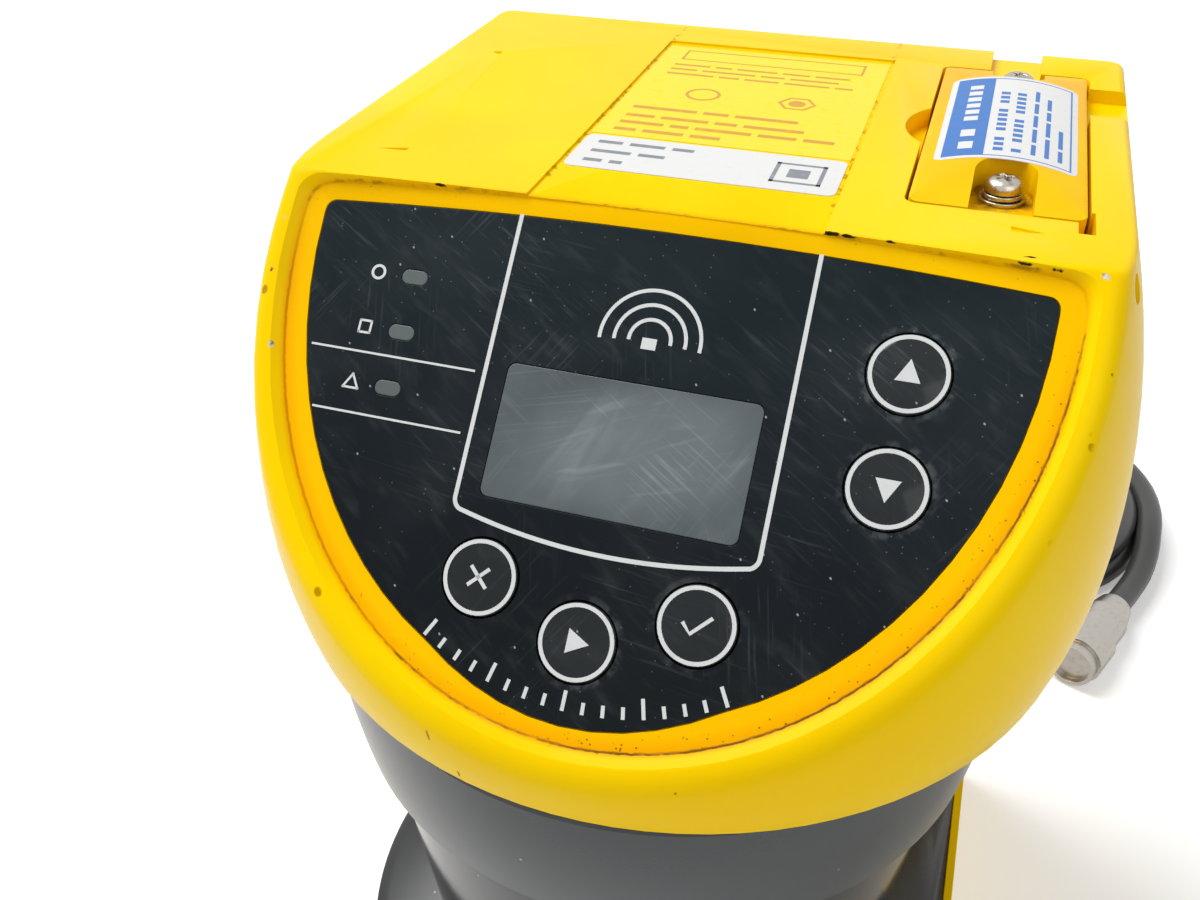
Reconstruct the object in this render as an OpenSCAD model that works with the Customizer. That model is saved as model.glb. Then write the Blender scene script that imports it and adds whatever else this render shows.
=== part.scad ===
// Safety laser scanner: a head with a sloped control panel over a curved scan window,
// a low base and a hollow rear column. The origin is where the mirror's axis meets the
// underside. X to the right, Y to the back, Z up. Millimetres.

/* [Overall] */
// Height of the whole unit
total_h = 160; // [150:1:175]
// Height of the base
base_h = 27; // [24:0.5:30]
// Radius of the base's round front
base_r = 50.9; // [50:0.1:53]
// Distance from the mirror's axis to the back face
back_y = 66.8; // [64:0.1:72]

/* [Head] */
// Height of the head
head_h = 53; // [50:0.5:58]
// Radius of the head's lower edge
head_r = 53.9; // [53:0.1:56]
// Distance of the head's round centre behind the mirror's axis
head_shift = 5.8; // [5:0.1:7]
// How far the side swells past the lower edge
head_swell = 2.1; // [1:0.1:3]
// Height of the widest place above the lower edge
swell_h = 17; // [12:0.5:22]
// How far the side leans in from its widest place to the top
head_lean = 6.5; // [4:0.1:8]
// Wall of the head
head_wall = 2.8; // [2.2:0.1:3.4]
// Rounding along the outside of the panel's rim
rim_round = 1.4; // [0.9:0.1:2.6]
// Rounding of the head's upright rear corners
corner_round = 1.5; // [1:0.1:3]

/* [Panel] */
// Slope of the panel above the level
panel_slope = 45.5; // [43:0.5:48]
// Depth of the panel's middle line under the top
panel_drop = 19.3; // [18:0.1:21]
// Distance of the panel's middle line behind the front of the head's lower edge
panel_inset = 25.3; // [24:0.1:27]
// Height of the rim over the sunk panel
rim_rise = 1.2; // [0.6:0.1:1.8]
// Distance from the head's side to the sunk panel
rim_w = 3.7; // [3.2:0.1:4.4]
// Distance from the head's side to the membrane
membrane_inset = 6.1; // [5.5:0.1:7]
// How much nearer to the side the membrane comes at its lowest point
membrane_dip = 1.1; // [0:0.1:1.4]
// Thickness of the membrane
membrane_t = 0.5; // [0.4:0.1:0.8]
// Upper edge of the membrane above the panel's middle line
membrane_top = 24.3; // [20:0.1:24.6]
// Distance from the membrane's upper edge to the edge of the sunk panel
brow_w = 2.1; // [1.6:0.1:2.4]
// How much lower the two upper edges lie at their ends than in the middle
brow_bow = 1.4; // [0:0.1:2]
// Rounding of the sunk panel's upper corners
brow_round = 3; // [1.5:0.1:4]
// Rounding of the membrane's upper corners
membrane_round = 1.4; // [0.6:0.1:2]
// Radius of a key
key_r = 4.4; // [3.8:0.1:4.8]
// How far a key stands proud
key_proud = 0.6; // [0.3:0.1:0.8]
// Travel of a key
key_travel = 0.4; // [0.3:0.05:0.6]
// Distance of the two arrow keys, and of the lamps, inside the head's lower edge
arrow_inset = 25; // [24:0.1:27]
// Distance between the two arrow keys
arrow_gap = 12.4; // [11.5:0.1:14]
// Radius of the arc that the three lower keys lie on
lower_arc = 34; // [32:0.5:36]
// Spacing of the three lower keys
lower_gap = 12.4; // [11.5:0.1:14]
// Distance of the middle lower key above the membrane's lowest point
lower_inset = 9.1; // [8.5:0.1:10]
// Width of the display pane
pane_w = 29.8; // [26:0.1:32]
// Height of the display pane
pane_h = 15.7; // [13:0.1:17]
// Width of a status lamp
lamp_w = 3.4; // [2.5:0.1:4.5]
// Height of a status lamp
lamp_h = 1.9; // [1.4:0.1:2.4]
// Spacing of the status lamps
lamp_gap = 6.8; // [5:0.1:8]

/* [Settings cover] */
// Width of the cover's pocket
pocket_w = 20.4; // [19:0.1:21]
// Length of the pocket
pocket_l = 51.4; // [49:0.1:52]
// Distance of the pocket's middle inside the head's upper edge
pocket_inset = 14.8; // [14.3:0.1:15.5]
// Distance of the pocket's front edge behind the axis
pocket_y = 6.1; // [5:0.1:8]
// Depth of the pocket
pocket_d = 6; // [5.4:0.1:6.4]
// Gap around the cover
cover_gap = 0.45; // [0.3:0.05:0.8]
// Height of the cover's crown over its long edges
crown = 1.8; // [1:0.1:2.4]
// Thickness of the cover's screw tabs
tab_t = 3; // [2.4:0.1:3.4]
// How far the cover's screws stand to the right of its middle
screw_shift = 0.5; // [0:0.1:0.9]
// Distance of the front screw behind the pocket's front edge
front_inset = 8.6; // [7:0.1:10]
// Distance of the rear screw before the pocket's rear edge
rear_inset = 3.4; // [3:0.1:5]
// Radius of a cover screw's head
screw_head_r = 2.15; // [1.9:0.05:2.5]
// Radius of a cover screw's shank
screw_r = 1.25; // [1:0.05:1.4]

/* [Window] */
// Height of the hood over the window
hood_h = 21; // [17:0.5:25]
// Radius of the hood's upper edge
hood_r = 47.7; // [47:0.1:48]
// Radius of the hood's lower edge
hood_low_r = 45.8; // [45.5:0.1:46.5]
// Wall of the hood
hood_wall = 1.6; // [1.2:0.1:1.8]
// Radius of the window's upper edge
window_top_r = 43.4; // [42:0.1:43.6]
// Radius of the window's foot
window_foot_r = 37; // [35:0.1:39]
// Wall of the window
window_wall = 2.4; // [1.8:0.1:3]
// Angle that the window sweeps
sweep = 270; // [260:1:276]

/* [Scanning] */
// Radius of the motor's body
motor_r = 15; // [13:0.5:16]
// Height of the motor's body
motor_h = 11; // [10:0.5:12]
// Radius of the spindle
spindle_r = 2; // [1.5:0.1:2.4]
// Radius of the slotted disc
disc_r = 19; // [17.5:0.5:20]
// Number of slots in the disc
disc_slots = 24; // [12:1:30]
// Height of the mirror's middle above the base
mirror_rise = 37; // [34:0.5:38]
// Radius of the mirror, seen from above
mirror_r = 17; // [15:0.5:18]
// Radius of the mirror's hub
hub_r = 8; // [7:0.5:9]
// Radius of the receiving lens
lens_r = 19; // [17:0.5:21]
// Radius of the laser's barrel
laser_r = 4.5; // [3.5:0.1:5]

/* [Fixing] */
// Distance between the fixing holes across the back
fix_w = 60; // [50:1:66]
// Distance between the fixing holes in height
fix_h = 66; // [60:1:68]
// Height of the middle of the fixing holes above the middle of the column
fix_rise = 11.5; // [9.5:0.5:13.5]
// Radius of a fixing hole
fix_r = 2.5; // [2:0.1:2.8]
// Depth of a fixing hole
fix_d = 8; // [6:0.5:9]
// Radius of the bracket hole in each side of the head
side_hole_r = 1.6; // [1.2:0.1:2]

/* [Lead] */
// Radius of the lead
cord_r = 3.25; // [3:0.05:3.5]
// Radius of the coil at the middle of its turns
coil_r = 33.6; // [32:0.2:36]

/* [Hidden] */

$fn = 64;
eps = 0.01;
far = 300;
// running clearance and the clearance of parts that are only laid in
run = 0.05;
lay = 0.3;

head_z = total_h - head_h;
panel_z = total_h - panel_drop;
panel_y = head_r - head_shift - panel_inset;
wide_r = head_r + head_swell;
low_bend = swell_h * swell_h / (2 * head_swell);
high_bend = (head_h - swell_h) * (head_h - swell_h) / (2 * head_lean);
edge_round = 1;
profile_steps = 12;
// half the angle round the head over which the membrane dips
dip_angle = 20;

// half-width of the head's side at a height over its lower edge
function side_r(h) = wide_r - (h - swell_h) * (h - swell_h) / (2 * (h < swell_h ? low_bend : high_bend));

// side of the head from bottom to top, with its lower and upper edges eased
function side_points(inset) = concat(
    [[side_r(0) - inset - edge_round * 0.6, 0]],
    [for (i = [0 : profile_steps])
        let (h = edge_round * 0.6 + (head_h - edge_round * 1.6) * i / profile_steps)
        [side_r(h) - inset, h]],
    [for (a = [30 : 30 : 90])
        [side_r(head_h - edge_round) - inset - edge_round * (1 - cos(a)), head_h - edge_round * (1 - sin(a))]]);

// the panel: x, and v up its slope, both from its middle
function panel_h(v) = panel_z - head_z + v * sin(panel_slope);
function edge_v(a, inset, n = 6, v = 0) = n == 0 ? v
    : edge_v(a, inset, n - 1,
        (head_shift - (side_r(panel_h(v)) - inset) * cos(a) + panel_y) / cos(panel_slope));
function edge_point(a, inset) = let (v = edge_v(a, inset)) [(side_r(panel_h(v)) - inset) * sin(a), v];
// the outline dips towards the bottom, by dip at its middle
function panel_outline(inset, dip) = [for (a = [-88 : 4 : 88])
    edge_point(a, inset - dip * max(0, cos(a * 90 / dip_angle)) * (abs(a) < dip_angle ? 1 : 0))];

module on_panel(h = 0) {
    translate([0, -panel_y, panel_z]) rotate([panel_slope, 0, 0]) translate([0, 0, h]) children();
}

// half-width of the panel inside the head's side, at a place up its slope
function edge_x(v, inset) = let (y = head_shift + panel_y - v * cos(panel_slope))
    sqrt(pow(side_r(panel_h(v)) - inset, 2) - y * y);
// right half of a plate's upper edge: a round corner, then a bow to the middle
function brow_half(inset, top, bow, r) = let (x = edge_x(top - bow - r, inset)) concat(
    [for (a = [0 : 18 : 90]) [x - r + r * cos(a), top - bow - r + r * sin(a)]],
    [for (t = [0.8 : -0.2 : 0.1]) [t * (x - r), top - bow * t * t]]);

// a plate on the panel between two heights, with the head's outline and an upper edge
module panel_plate(inset, low, high, top, dip = 0, bow = 0, r = 0.5) {
    half = brow_half(inset, top, bow, r);
    n = len(half) - 1;
    on_panel(low) intersection() {
        linear_extrude(high - low) polygon(panel_outline(inset, dip));
        linear_extrude(high - low) polygon(concat([[half[0][0], -far]], half, [[0, top]],
            [for (i = [0 : n]) [-half[n - i][0], half[n - i][1]]], [[-half[0][0], -far]]));
    }
}

// plate with round corners, standing on the given height
module round_plate(w, l, r, t) {
    union() {
        translate([-w / 2 + r, -l / 2, 0]) cube([w - 2 * r, l, t]);
        translate([-w / 2, -l / 2 + r, 0]) cube([w, l - 2 * r, t]);
        for (sx = [-1, 1], sy = [-1, 1])
            translate([sx * (w / 2 - r), sy * (l / 2 - r), 0]) cylinder(r = r, h = t);
    }
}

/* ---- head ---- */

// the head's round front, smaller by inset
module head_front(inset) {
    translate([0, head_shift, head_z]) rotate([0, 0, 180])
        rotate_extrude(angle = 180, $fn = 96) polygon(concat([[0, 0]], side_points(inset), [[0, head_h]]));
}

// the head's whole body, with its upright rear corners rounded
module head_body() {
    hull() {
        head_front(0);
        for (a = [0 : 22.5 : 90])
            translate([0, back_y - corner_round * (1 - sin(a)), head_z]) head_slice(corner_round * (1 - cos(a)));
    }
}

// thin upright slice of the head across the unit
module head_slice(inset) {
    p = side_points(inset);
    n = len(p) - 1;
    rotate([90, 0, 0]) linear_extrude(eps)
        polygon(concat(p, [for (i = [0 : n]) [-p[n - i][0], p[n - i][1]]]));
}

// everything under the plane of the panel's rim
module under_rim(depth = 0) {
    on_panel(rim_rise - depth - far) translate([-far / 2, -far / 2, 0]) cube([far, far, far]);
}

// thin slice of the head's body, parallel to the rim
module rim_slice(a) {
    intersection() {
        head_front(rim_round * (1 - cos(a)));
        on_panel(rim_rise - rim_round * (1 - sin(a)) - 2 * eps)
            translate([-far / 2, -far / 2, 0]) cube([far, far, 2 * eps]);
    }
}

module head_outside() {
    hull() {
        intersection() {
            head_body();
            under_rim(rim_round);
        }
        for (a = [18 : 18 : 90])
            rim_slice(a);
    }
}

// plain inside of the head, open at the bottom
module head_inside() {
    inner = [for (p = side_points(head_wall)) if (p[1] < head_h - 2 * edge_round) p];
    last = inner[len(inner) - 1];
    outline = concat([[0, -1], [inner[0][0], -1]], inner, [[last[0], head_h - head_wall], [0, head_h - head_wall]]);
    intersection() {
        translate([0, head_shift, head_z]) union() {
            rotate_extrude() polygon(outline);
            rotate([-90, 0, 0]) linear_extrude(back_y - head_shift - head_wall) {
                polygon([for (p = outline) [p[0], -p[1]]]);
                polygon([for (p = outline) [-p[0], -p[1]]]);
            }
        }
        on_panel(-membrane_t - head_wall - far) translate([-far / 2, -far / 2, 0]) cube([far, far, far]);
    }
}

pocket_x = side_r(head_h) - pocket_inset;
screw_x = pocket_x + screw_shift;
pocket_mid = pocket_y + pocket_l / 2;
pocket_z = total_h - pocket_d;
screw_ys = [pocket_y + front_inset, pocket_y + pocket_l - rear_inset];
boss_r = screw_r + 2;
boss_d = 7;

// material kept under the cover's pocket
module pocket_tub() {
    translate([pocket_x, pocket_mid, pocket_z - head_wall])
        round_plate(pocket_w + 2 * head_wall, pocket_l + 2 * head_wall, 3, pocket_d + head_wall);
    for (y = screw_ys)
        translate([screw_x, y, pocket_z - boss_d]) cylinder(r = boss_r, h = boss_d);
}

// the cover's pocket, with its thumb scoop, side channel and rear driver notch
scoop_r = 9.6;
scoop_out = 2.6;
channel_y = 41.7;
channel_l = 11.1;
channel_d = 1.9;
notch_w = 7;
module pocket_cut() {
    translate([pocket_x, pocket_mid, pocket_z]) round_plate(pocket_w, pocket_l, 1.5, pocket_d + eps);
    translate([pocket_x - pocket_w / 2 - scoop_out + scoop_r, pocket_mid, total_h - 2.4]) cylinder(r = scoop_r, h = 4);
    translate([pocket_x, channel_y, total_h - channel_d]) cube([40, channel_l, 4]);
    translate([pocket_x - notch_w / 2, pocket_mid, total_h - 1.2]) cube([notch_w, far, 4]);
    translate([pocket_x + pocket_w / 2 - 1.4, pocket_y - 3, total_h - 2.6]) cube([1.8, 6, 4]);
}

// shallow field for the labels and three small engraved marks
label_w = 34.8;
label_l = 58;
label_d = 0.35;
mark_d = 0.3;
module top_marks() {
    translate([-label_w / 2, -20, total_h - label_d]) cube([label_w, 20 + label_l, 4]);
    translate([0, 0, total_h - mark_d]) linear_extrude(4) {
        polygon([[-40.5, 3.2], [-36.8, 4.3], [-36.9, 3.3]]);
        polygon([[-42.3, 44.5], [-40.7, 45], [-40.7, 43.4]]);
        polygon([[36.5, 2.8], [40.1, 2], [36.7, 1.4]]);
    }
}

arrow_x = head_r - arrow_inset;
lower_v = lower_inset + edge_v(0, membrane_inset - membrane_dip);
arrow_keys = [[arrow_x, arrow_gap], [arrow_x, 0]];
lower_rise = lower_arc - sqrt(lower_arc * lower_arc - lower_gap * lower_gap) + 2.2;
lower_keys = [[-lower_gap, lower_rise + lower_v], [0, lower_v], [lower_gap, lower_rise + lower_v]];
key_places = concat(arrow_keys, lower_keys);
lamp_x = -arrow_x;
lamp_v = [7.9 + lamp_gap, 7.9, 7.9 - lamp_gap];
pane_v = -1.2;
key_hole_r = key_r + 0.15;
flange_r = key_r + 0.8;
flange_t = 0.8;
well_r = flange_r + 0.4;
post_places = [[-24, 17], [22, 20], [-26, -11], [22, -13]];
post_r = 2;
board_h = membrane_t + head_wall + 2;

module head_housing() {
    color("gold") difference() {
        head_outside();
        difference() {
            head_inside();
            pocket_tub();
            for (p = post_places)
                on_panel(-board_h) translate([p[0], p[1], 0]) cylinder(r = post_r, h = board_h);
            for (s = [-1, 1])
                translate([s * side_hole_x, side_hole_y, side_hole_z]) rotate([0, -s * 90, 0])
                    translate([0, 0, -8]) cylinder(r = side_hole_r + 2, h = 8 + side_hole_d + 1.5);
        }
        hull() {
            panel_plate(rim_w, 0, eps, brow_v, 0, brow_bow, brow_round);
            panel_plate(rim_w - rim_rise, rim_rise, rim_rise + 1, brow_v + rim_rise / 2, 0, brow_bow, brow_round);
        }
        panel_plate(membrane_inset, -membrane_t, eps, membrane_top, membrane_dip, brow_bow, membrane_round);
        on_panel(-far / 10) for (p = key_places) translate([p[0], p[1], 0]) cylinder(r = well_r, h = far / 10);
        on_panel(-far / 10) for (v = lamp_v) translate([lamp_x, v, 0]) round_plate(lamp_w, lamp_h, lamp_h / 2 - eps, far / 10);
        on_panel(-far / 10) translate([0, pane_v, 0]) round_plate(pane_w - 3, pane_h - 3, 1, far / 10);
        on_panel(-membrane_t - pane_t) translate([0, pane_v, 0]) round_plate(pane_w, pane_h, 1, far / 10);
        pocket_cut();
        for (y = screw_ys)
            translate([screw_x, y, pocket_z - boss_d + 1]) cylinder(r = screw_r, h = boss_d);
        translate([pocket_x, pocket_mid, pocket_z - far / 10]) cylinder(r = socket_r, h = far / 10 + 1);
        top_marks();
        for (s = [-1, 1])
            translate([s * side_hole_x, side_hole_y, side_hole_z]) rotate([0, -s * 90, 0])
                translate([0, 0, -8]) cylinder(r = side_hole_r, h = 8 + side_hole_d);
    }
}
brow_v = membrane_top + brow_w;
side_hole_y = head_shift - 7.3;
side_hole_z = total_h - 3.4;
side_hole_x = sqrt(pow(side_r(side_hole_z - head_z), 2) - pow(side_hole_y - head_shift, 2));
side_hole_d = 5;

/* ---- panel ---- */

pane_t = 1.2;
module control_membrane() {
    color("#15181b") difference() {
        panel_plate(membrane_inset + 0.1, -membrane_t, 0, membrane_top - 0.1, membrane_dip, brow_bow, membrane_round - 0.1);
        on_panel(-2) for (p = key_places) translate([p[0], p[1], 0]) cylinder(r = key_hole_r, h = 4);
        on_panel(-2) for (v = lamp_v) translate([lamp_x, v, 0]) round_plate(lamp_w, lamp_h, lamp_h / 2 - eps, 4);
        on_panel(-2) translate([0, pane_v, 0]) round_plate(pane_w, pane_h, 1, 4);
    }
}

module display_pane() {
    color("dimgray") on_panel(-membrane_t - pane_t) translate([0, pane_v, 0])
        round_plate(pane_w - 0.1, pane_h - 0.1, 1, membrane_t + pane_t);
}

module display_module() {
    color("silver") on_panel(-board_h - board_t) translate([0, pane_v, 0])
        round_plate(pane_w + 4, pane_h + 6, 1, board_t + board_h - membrane_t - head_wall);
}

module lamp(i) {
    color("slategray") on_panel(-board_h) translate([lamp_x, lamp_v[i], 0])
        round_plate(lamp_w - 0.1, lamp_h - 0.1, lamp_h / 2 - 0.1, board_h);
}

// a key: domed cap, retaining flange and stem
key_dome_r = 24;
stem_r = 1.8;
dome_h = 0.4;
module key(i) {
    p = key_places[i];
    color("#1b1e21") on_panel() translate([p[0], p[1], 0]) {
        intersection() {
            translate([0, 0, -membrane_t - lay]) cylinder(r = key_r, h = membrane_t + lay + key_proud);
            translate([0, 0, key_proud - key_dome_r]) sphere(r = key_dome_r);
        }
        translate([0, 0, -membrane_t - lay - flange_t]) cylinder(r = flange_r, h = flange_t);
        translate([0, 0, stem_low]) cylinder(r = stem_r, h = -stem_low - membrane_t - lay);
    }
}
sheet_t = 0.3;
board_t = 1.6;
board_top = membrane_top - 3;
board_inset = membrane_inset + 4;
sheet_inset = board_inset + 2;
stem_low = -board_h + sheet_t + dome_h + key_travel + 0.1;

// one sheet with a snap dome under each key
module dome_sheet() {
    color("gainsboro") difference() {
        union() {
            panel_plate(sheet_inset, -board_h, sheet_t - board_h, board_top - 3);
            on_panel(-board_h) for (p = key_places) translate([p[0], p[1], 0])
                cylinder(r1 = 3.2, r2 = 2.2, h = sheet_t + dome_h);
        }
        panel_openings();
    }
}

// openings for the display, the lamps and the posts
module panel_openings() {
    on_panel(-20) {
        translate([0, pane_v, 0]) round_plate(pane_w + 5, pane_h + 7, 1, 30);
        for (v = lamp_v) translate([lamp_x, v, 0]) round_plate(lamp_w + 1, lamp_h + 1, 1, 30);
        for (p = post_places) translate([p[0], p[1], 0]) cylinder(r = post_r + 0.2, h = 20 - board_h + 4);
    }
}

module keypad_board() {
    color("seagreen") difference() {
        panel_plate(board_inset, -board_h - board_t, -board_h, board_top);
        on_panel(-20) translate([0, pane_v, 0]) round_plate(pane_w + 5, pane_h + 7, 1, 30);
    }
}

/* ---- settings cover ---- */

seal_t = 1;
cover_z = pocket_z + seal_t;
tab_z = cover_z + tab_t;
cover_w = pocket_w - 2 * cover_gap;
cover_l = pocket_l - 2 * cover_gap;
arch_r = (cover_w * cover_w / 4 + crown * crown) / (2 * crown);
apron_l = 11;
apron_drop = 1.9;
slot_w = 7.1;
port_w = 14;
port_l = 26;
port_rim = 1.5;
module settings_cover() {
    crown_z = total_h + 0.1 + crown;
    color("gold") difference() {
        intersection() {
            translate([pocket_x, pocket_mid, cover_z]) round_plate(cover_w, cover_l, 1.2, 9);
            translate([pocket_x, 0, crown_z - arch_r]) rotate([-90, 0, 0]) cylinder(r = arch_r, h = far, $fn = 96);
        }
        for (s = [-1, 1])
            translate([pocket_x, pocket_mid + s * cover_l / 2, crown_z - apron_drop])
                rotate([s * -atan(apron_drop / apron_l), 0, 0])
                    translate([-far / 2, s > 0 ? -apron_l * 1.04 : -far / 10 + apron_l * 1.04, 0]) cube([far, far / 10, far / 10]);
        for (i = [0, 1]) {
            translate([screw_x, screw_ys[i], tab_z]) cylinder(r = slot_w / 2, h = 20);
            translate([screw_x - slot_w / 2, i == 0 ? screw_ys[i] - 20 : screw_ys[i], tab_z]) cube([slot_w, 20, 20]);
            translate([screw_x, screw_ys[i], 0]) cylinder(r = screw_r + 0.2, h = far);
        }
        translate([pocket_x, pocket_mid, cover_z - eps]) round_plate(port_w, port_l, 2, 2.6);
    }
}

module cover_seal() {
    color("#222222") translate([pocket_x, pocket_mid, pocket_z]) difference() {
        round_plate(port_w + 2 * port_rim, port_l + 2 * port_rim, 2 + port_rim, seal_t);
        translate([0, 0, -1]) round_plate(port_w, port_l, 2, seal_t + 2);
    }
}

flat_t = 0.5;
spring_t = 0.7;
head_t = 1.7;
module at_screws() {
    for (y = screw_ys) translate([screw_x, y, tab_z]) children();
}

module flat_washers() {
    color("silver") at_screws() difference() {
        cylinder(r = screw_head_r + 0.65, h = flat_t);
        translate([0, 0, -1]) cylinder(r = screw_r + 0.1, h = 4);
    }
}

module spring_washers() {
    color("gray") at_screws() translate([0, 0, flat_t]) difference() {
        cylinder(r = screw_head_r + 0.3, h = spring_t);
        translate([0, 0, -1]) cylinder(r = screw_r + 0.1, h = 4);
        translate([0, -0.2, -1]) cube([5, 0.4, 4]);
    }
}

module cover_screws() {
    seat = flat_t + spring_t;
    color("silver") at_screws() difference() {
        union() {
            translate([0, 0, seat]) intersection() {
                cylinder(r = screw_head_r, h = head_t);
                translate([0, 0, head_t - 3]) sphere(r = 3);
            }
            translate([0, 0, -7]) cylinder(r = screw_r, h = 7 + seat + 0.2);
        }
        for (a = [0, 90])
            rotate([0, 0, a]) translate([-1.3, -0.3, seat + head_t - 1]) cube([2.6, 0.6, 2]);
    }
}

socket_r = 5;
module service_socket() {
    color("#2a2a2a") translate([pocket_x, pocket_mid, service_z]) difference() {
        union() {
            cylinder(r = socket_r - run, h = pocket_z + seal_t - service_z);
            cylinder(r = socket_r + 1, h = pocket_z - head_wall - service_z);
        }
        translate([0, 0, 3]) difference() {
            cylinder(r = socket_r - 1, h = 20);
            cylinder(r = 1.6, h = 20);
        }
    }
}

service_z = pocket_z - head_wall - 2;
module service_board() {
    color("seagreen") translate([pocket_x, pocket_mid, service_z - board_t]) difference() {
        round_plate(pocket_w - 1, pocket_l - 24, 1, board_t);
    }
}

/* ---- window ---- */

gasket_t = 0.8;
hood_top = head_z - gasket_t;
hood_z = head_z - hood_h;
hood_flange = 3;
hood_bulge = 0.4;
window_seal_t = 0.8;
window_z = base_h + window_seal_t;

// turn a profile through the window's sweep, with its middle to the front
module swept() {
    rotate([0, 0, 270 - sweep / 2]) rotate_extrude(angle = sweep, $fn = 128) children();
}

function hood_side(t, inset) = [hood_low_r + (hood_r - hood_low_r) * t + hood_bulge * 4 * t * (1 - t) - inset,
    hood_z + (hood_top - hood_z) * t];

module head_gasket() {
    color("#101010") swept()
        polygon([[hood_r - 6, hood_top], [hood_r + 0.1, hood_top], [hood_r + 0.1, head_z], [hood_r - 6, head_z]]);
}

module window_hood() {
    color("#3a3d40") swept() polygon(concat(
        [for (i = [0 : 5]) hood_side(i / 5, 0)],
        [[hood_r - 6, hood_top], [hood_r - 6, hood_top - hood_flange],
            [hood_side(0.85, hood_wall)[0], hood_top - hood_flange]],
        [for (i = [4 : -1 : 0]) hood_side(i / 5, hood_wall)]));
}

module scan_window() {
    top = hood_top - hood_flange;
    color("#0c0d10") swept() polygon([[window_foot_r, window_z], [window_top_r, hood_z], [window_top_r, top],
        [window_top_r - window_wall, top], [window_top_r - window_wall, hood_z], [window_foot_r - window_wall, window_z]]);
}

module window_seal() {
    color("#101010") swept() polygon([[window_foot_r - window_wall - 0.5, base_h], [window_foot_r + 0.5, base_h],
        [window_foot_r + 0.5, window_z], [window_foot_r - window_wall - 0.5, window_z]]);
}

/* ---- optics ---- */

frame_t = 3;
tube_wall = 2;
tube_drop = 11;
lens_t = 5;
lens_curve = 42;
lens_z = head_z - tube_drop + 1.2;
receiver_rise = 19;
receiver_z = head_z + receiver_rise;
receiver_r = 24;
receiver_posts = [90, 210, 330];
inner_r = side_r(0) - 0.6 * edge_round - head_wall - lay;

module optics_frame() {
    inner_back = back_y - head_wall - lay;
    color("#4a4d50") difference() {
        union() {
            intersection() {
                translate([0, head_shift, head_z]) cylinder(r = inner_r, h = frame_t);
                translate([-far / 2, -far, 0]) cube([far, far + head_shift, far]);
            }
            translate([-inner_r, head_shift, head_z]) cube([2 * inner_r, inner_back - head_shift, frame_t]);
            translate([0, 0, head_z - tube_drop]) cylinder(r = lens_r + tube_wall, h = tube_drop + frame_t);
            for (a = receiver_posts)
                rotate([0, 0, a]) translate([receiver_r - 2.2, 0, head_z]) cylinder(r = 2, h = receiver_z - head_z);
        }
        translate([0, 0, lens_z]) cylinder(r = lens_r + run, h = far);
        translate([0, 0, head_z - far / 2]) cylinder(r = lens_r - 1, h = far);
        translate([-20, back_y - 22, head_z - 1]) cube([40, 12, frame_t + 2]);
    }
}

module receiver_lens() {
    color("lightsteelblue") difference() {
        intersection() {
            translate([0, 0, lens_z]) cylinder(r = lens_r, h = lens_t);
            translate([0, 0, lens_z + lens_curve]) sphere(r = lens_curve, $fn = 96);
        }
        translate([0, 0, lens_z - 1]) cylinder(r = laser_r + run, h = lens_t + 2);
    }
}

module laser_module() {
    color("#b08a3a") difference() {
        translate([0, 0, lens_z - 2]) cylinder(r = laser_r, h = receiver_z - lens_z + 2);
        translate([0, 0, lens_z - 3]) cylinder(r = laser_r - 1.5, h = 4);
    }
}

module receiver_board() {
    color("seagreen") translate([0, 0, receiver_z]) cylinder(r = receiver_r, h = board_t);
}

/* ---- scanning ---- */

disc_z = base_h + motor_h + 1;
disc_t = 0.8;
hub_z = disc_z + disc_t + 0.5;
mirror_z = base_h + mirror_rise;
mirror_t = 3;
bearing_r = 5;
bearing_t = 3.6;
spindle_z = base_h + 1.5;
hub_bore = 7;
hub_flange = 4;

module above_mirror(depth) {
    translate([0, 0, mirror_z]) rotate([45, 0, 0]) translate([-far / 2, -far / 2, -depth]) cube([far, far, far]);
}

module scan_mirror() {
    color("lightgray") difference() {
        intersection() {
            translate([0, 0, base_h]) cylinder(r = mirror_r, h = far / 2);
            above_mirror(mirror_t);
        }
        above_mirror(0);
    }
}

module mirror_hub() {
    color("#55585c") difference() {
        union() {
            translate([0, 0, hub_z]) cylinder(r = hub_r, h = far / 2);
            translate([0, 0, hub_z]) cylinder(r = hub_r + hub_flange, h = 1.2);
        }
        above_mirror(mirror_t);
        translate([0, 0, hub_z - 1]) cylinder(r = spindle_r, h = hub_bore + 1);
    }
}

module slotted_disc() {
    color("#303030") translate([0, 0, disc_z]) difference() {
        union() {
            cylinder(r = disc_r, h = disc_t);
            cylinder(r = hub_r, h = hub_z - disc_z);
        }
        translate([0, 0, -1]) cylinder(r = spindle_r, h = 4);
        for (i = [0 : disc_slots - 1])
            rotate([0, 0, i * 360 / disc_slots]) translate([disc_r - 3.2, -0.6, -1]) cube([2.4, 1.2, 3]);
    }
}

module motor_spindle() {
    color("silver") translate([0, 0, spindle_z]) cylinder(r = spindle_r, h = hub_z + hub_bore - 0.5 - spindle_z);
}

module scan_motor() {
    color("#6b6e72") translate([0, 0, base_h]) difference() {
        union() {
            cylinder(r = motor_r + 1.8, h = 1.6);
            cylinder(r = motor_r - 0.8, h = motor_h);
            translate([0, 0, 2.4]) cylinder(r = motor_r, h = motor_h - 4);
        }
        translate([0, 0, 1]) cylinder(r = bearing_r, h = motor_h);
    }
}

module bearing(z) {
    color("lightgray") translate([0, 0, z]) difference() {
        cylinder(r = bearing_r, h = bearing_t);
        translate([0, 0, -1]) cylinder(r = spindle_r + run, h = bearing_t + 2);
    }
}

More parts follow.
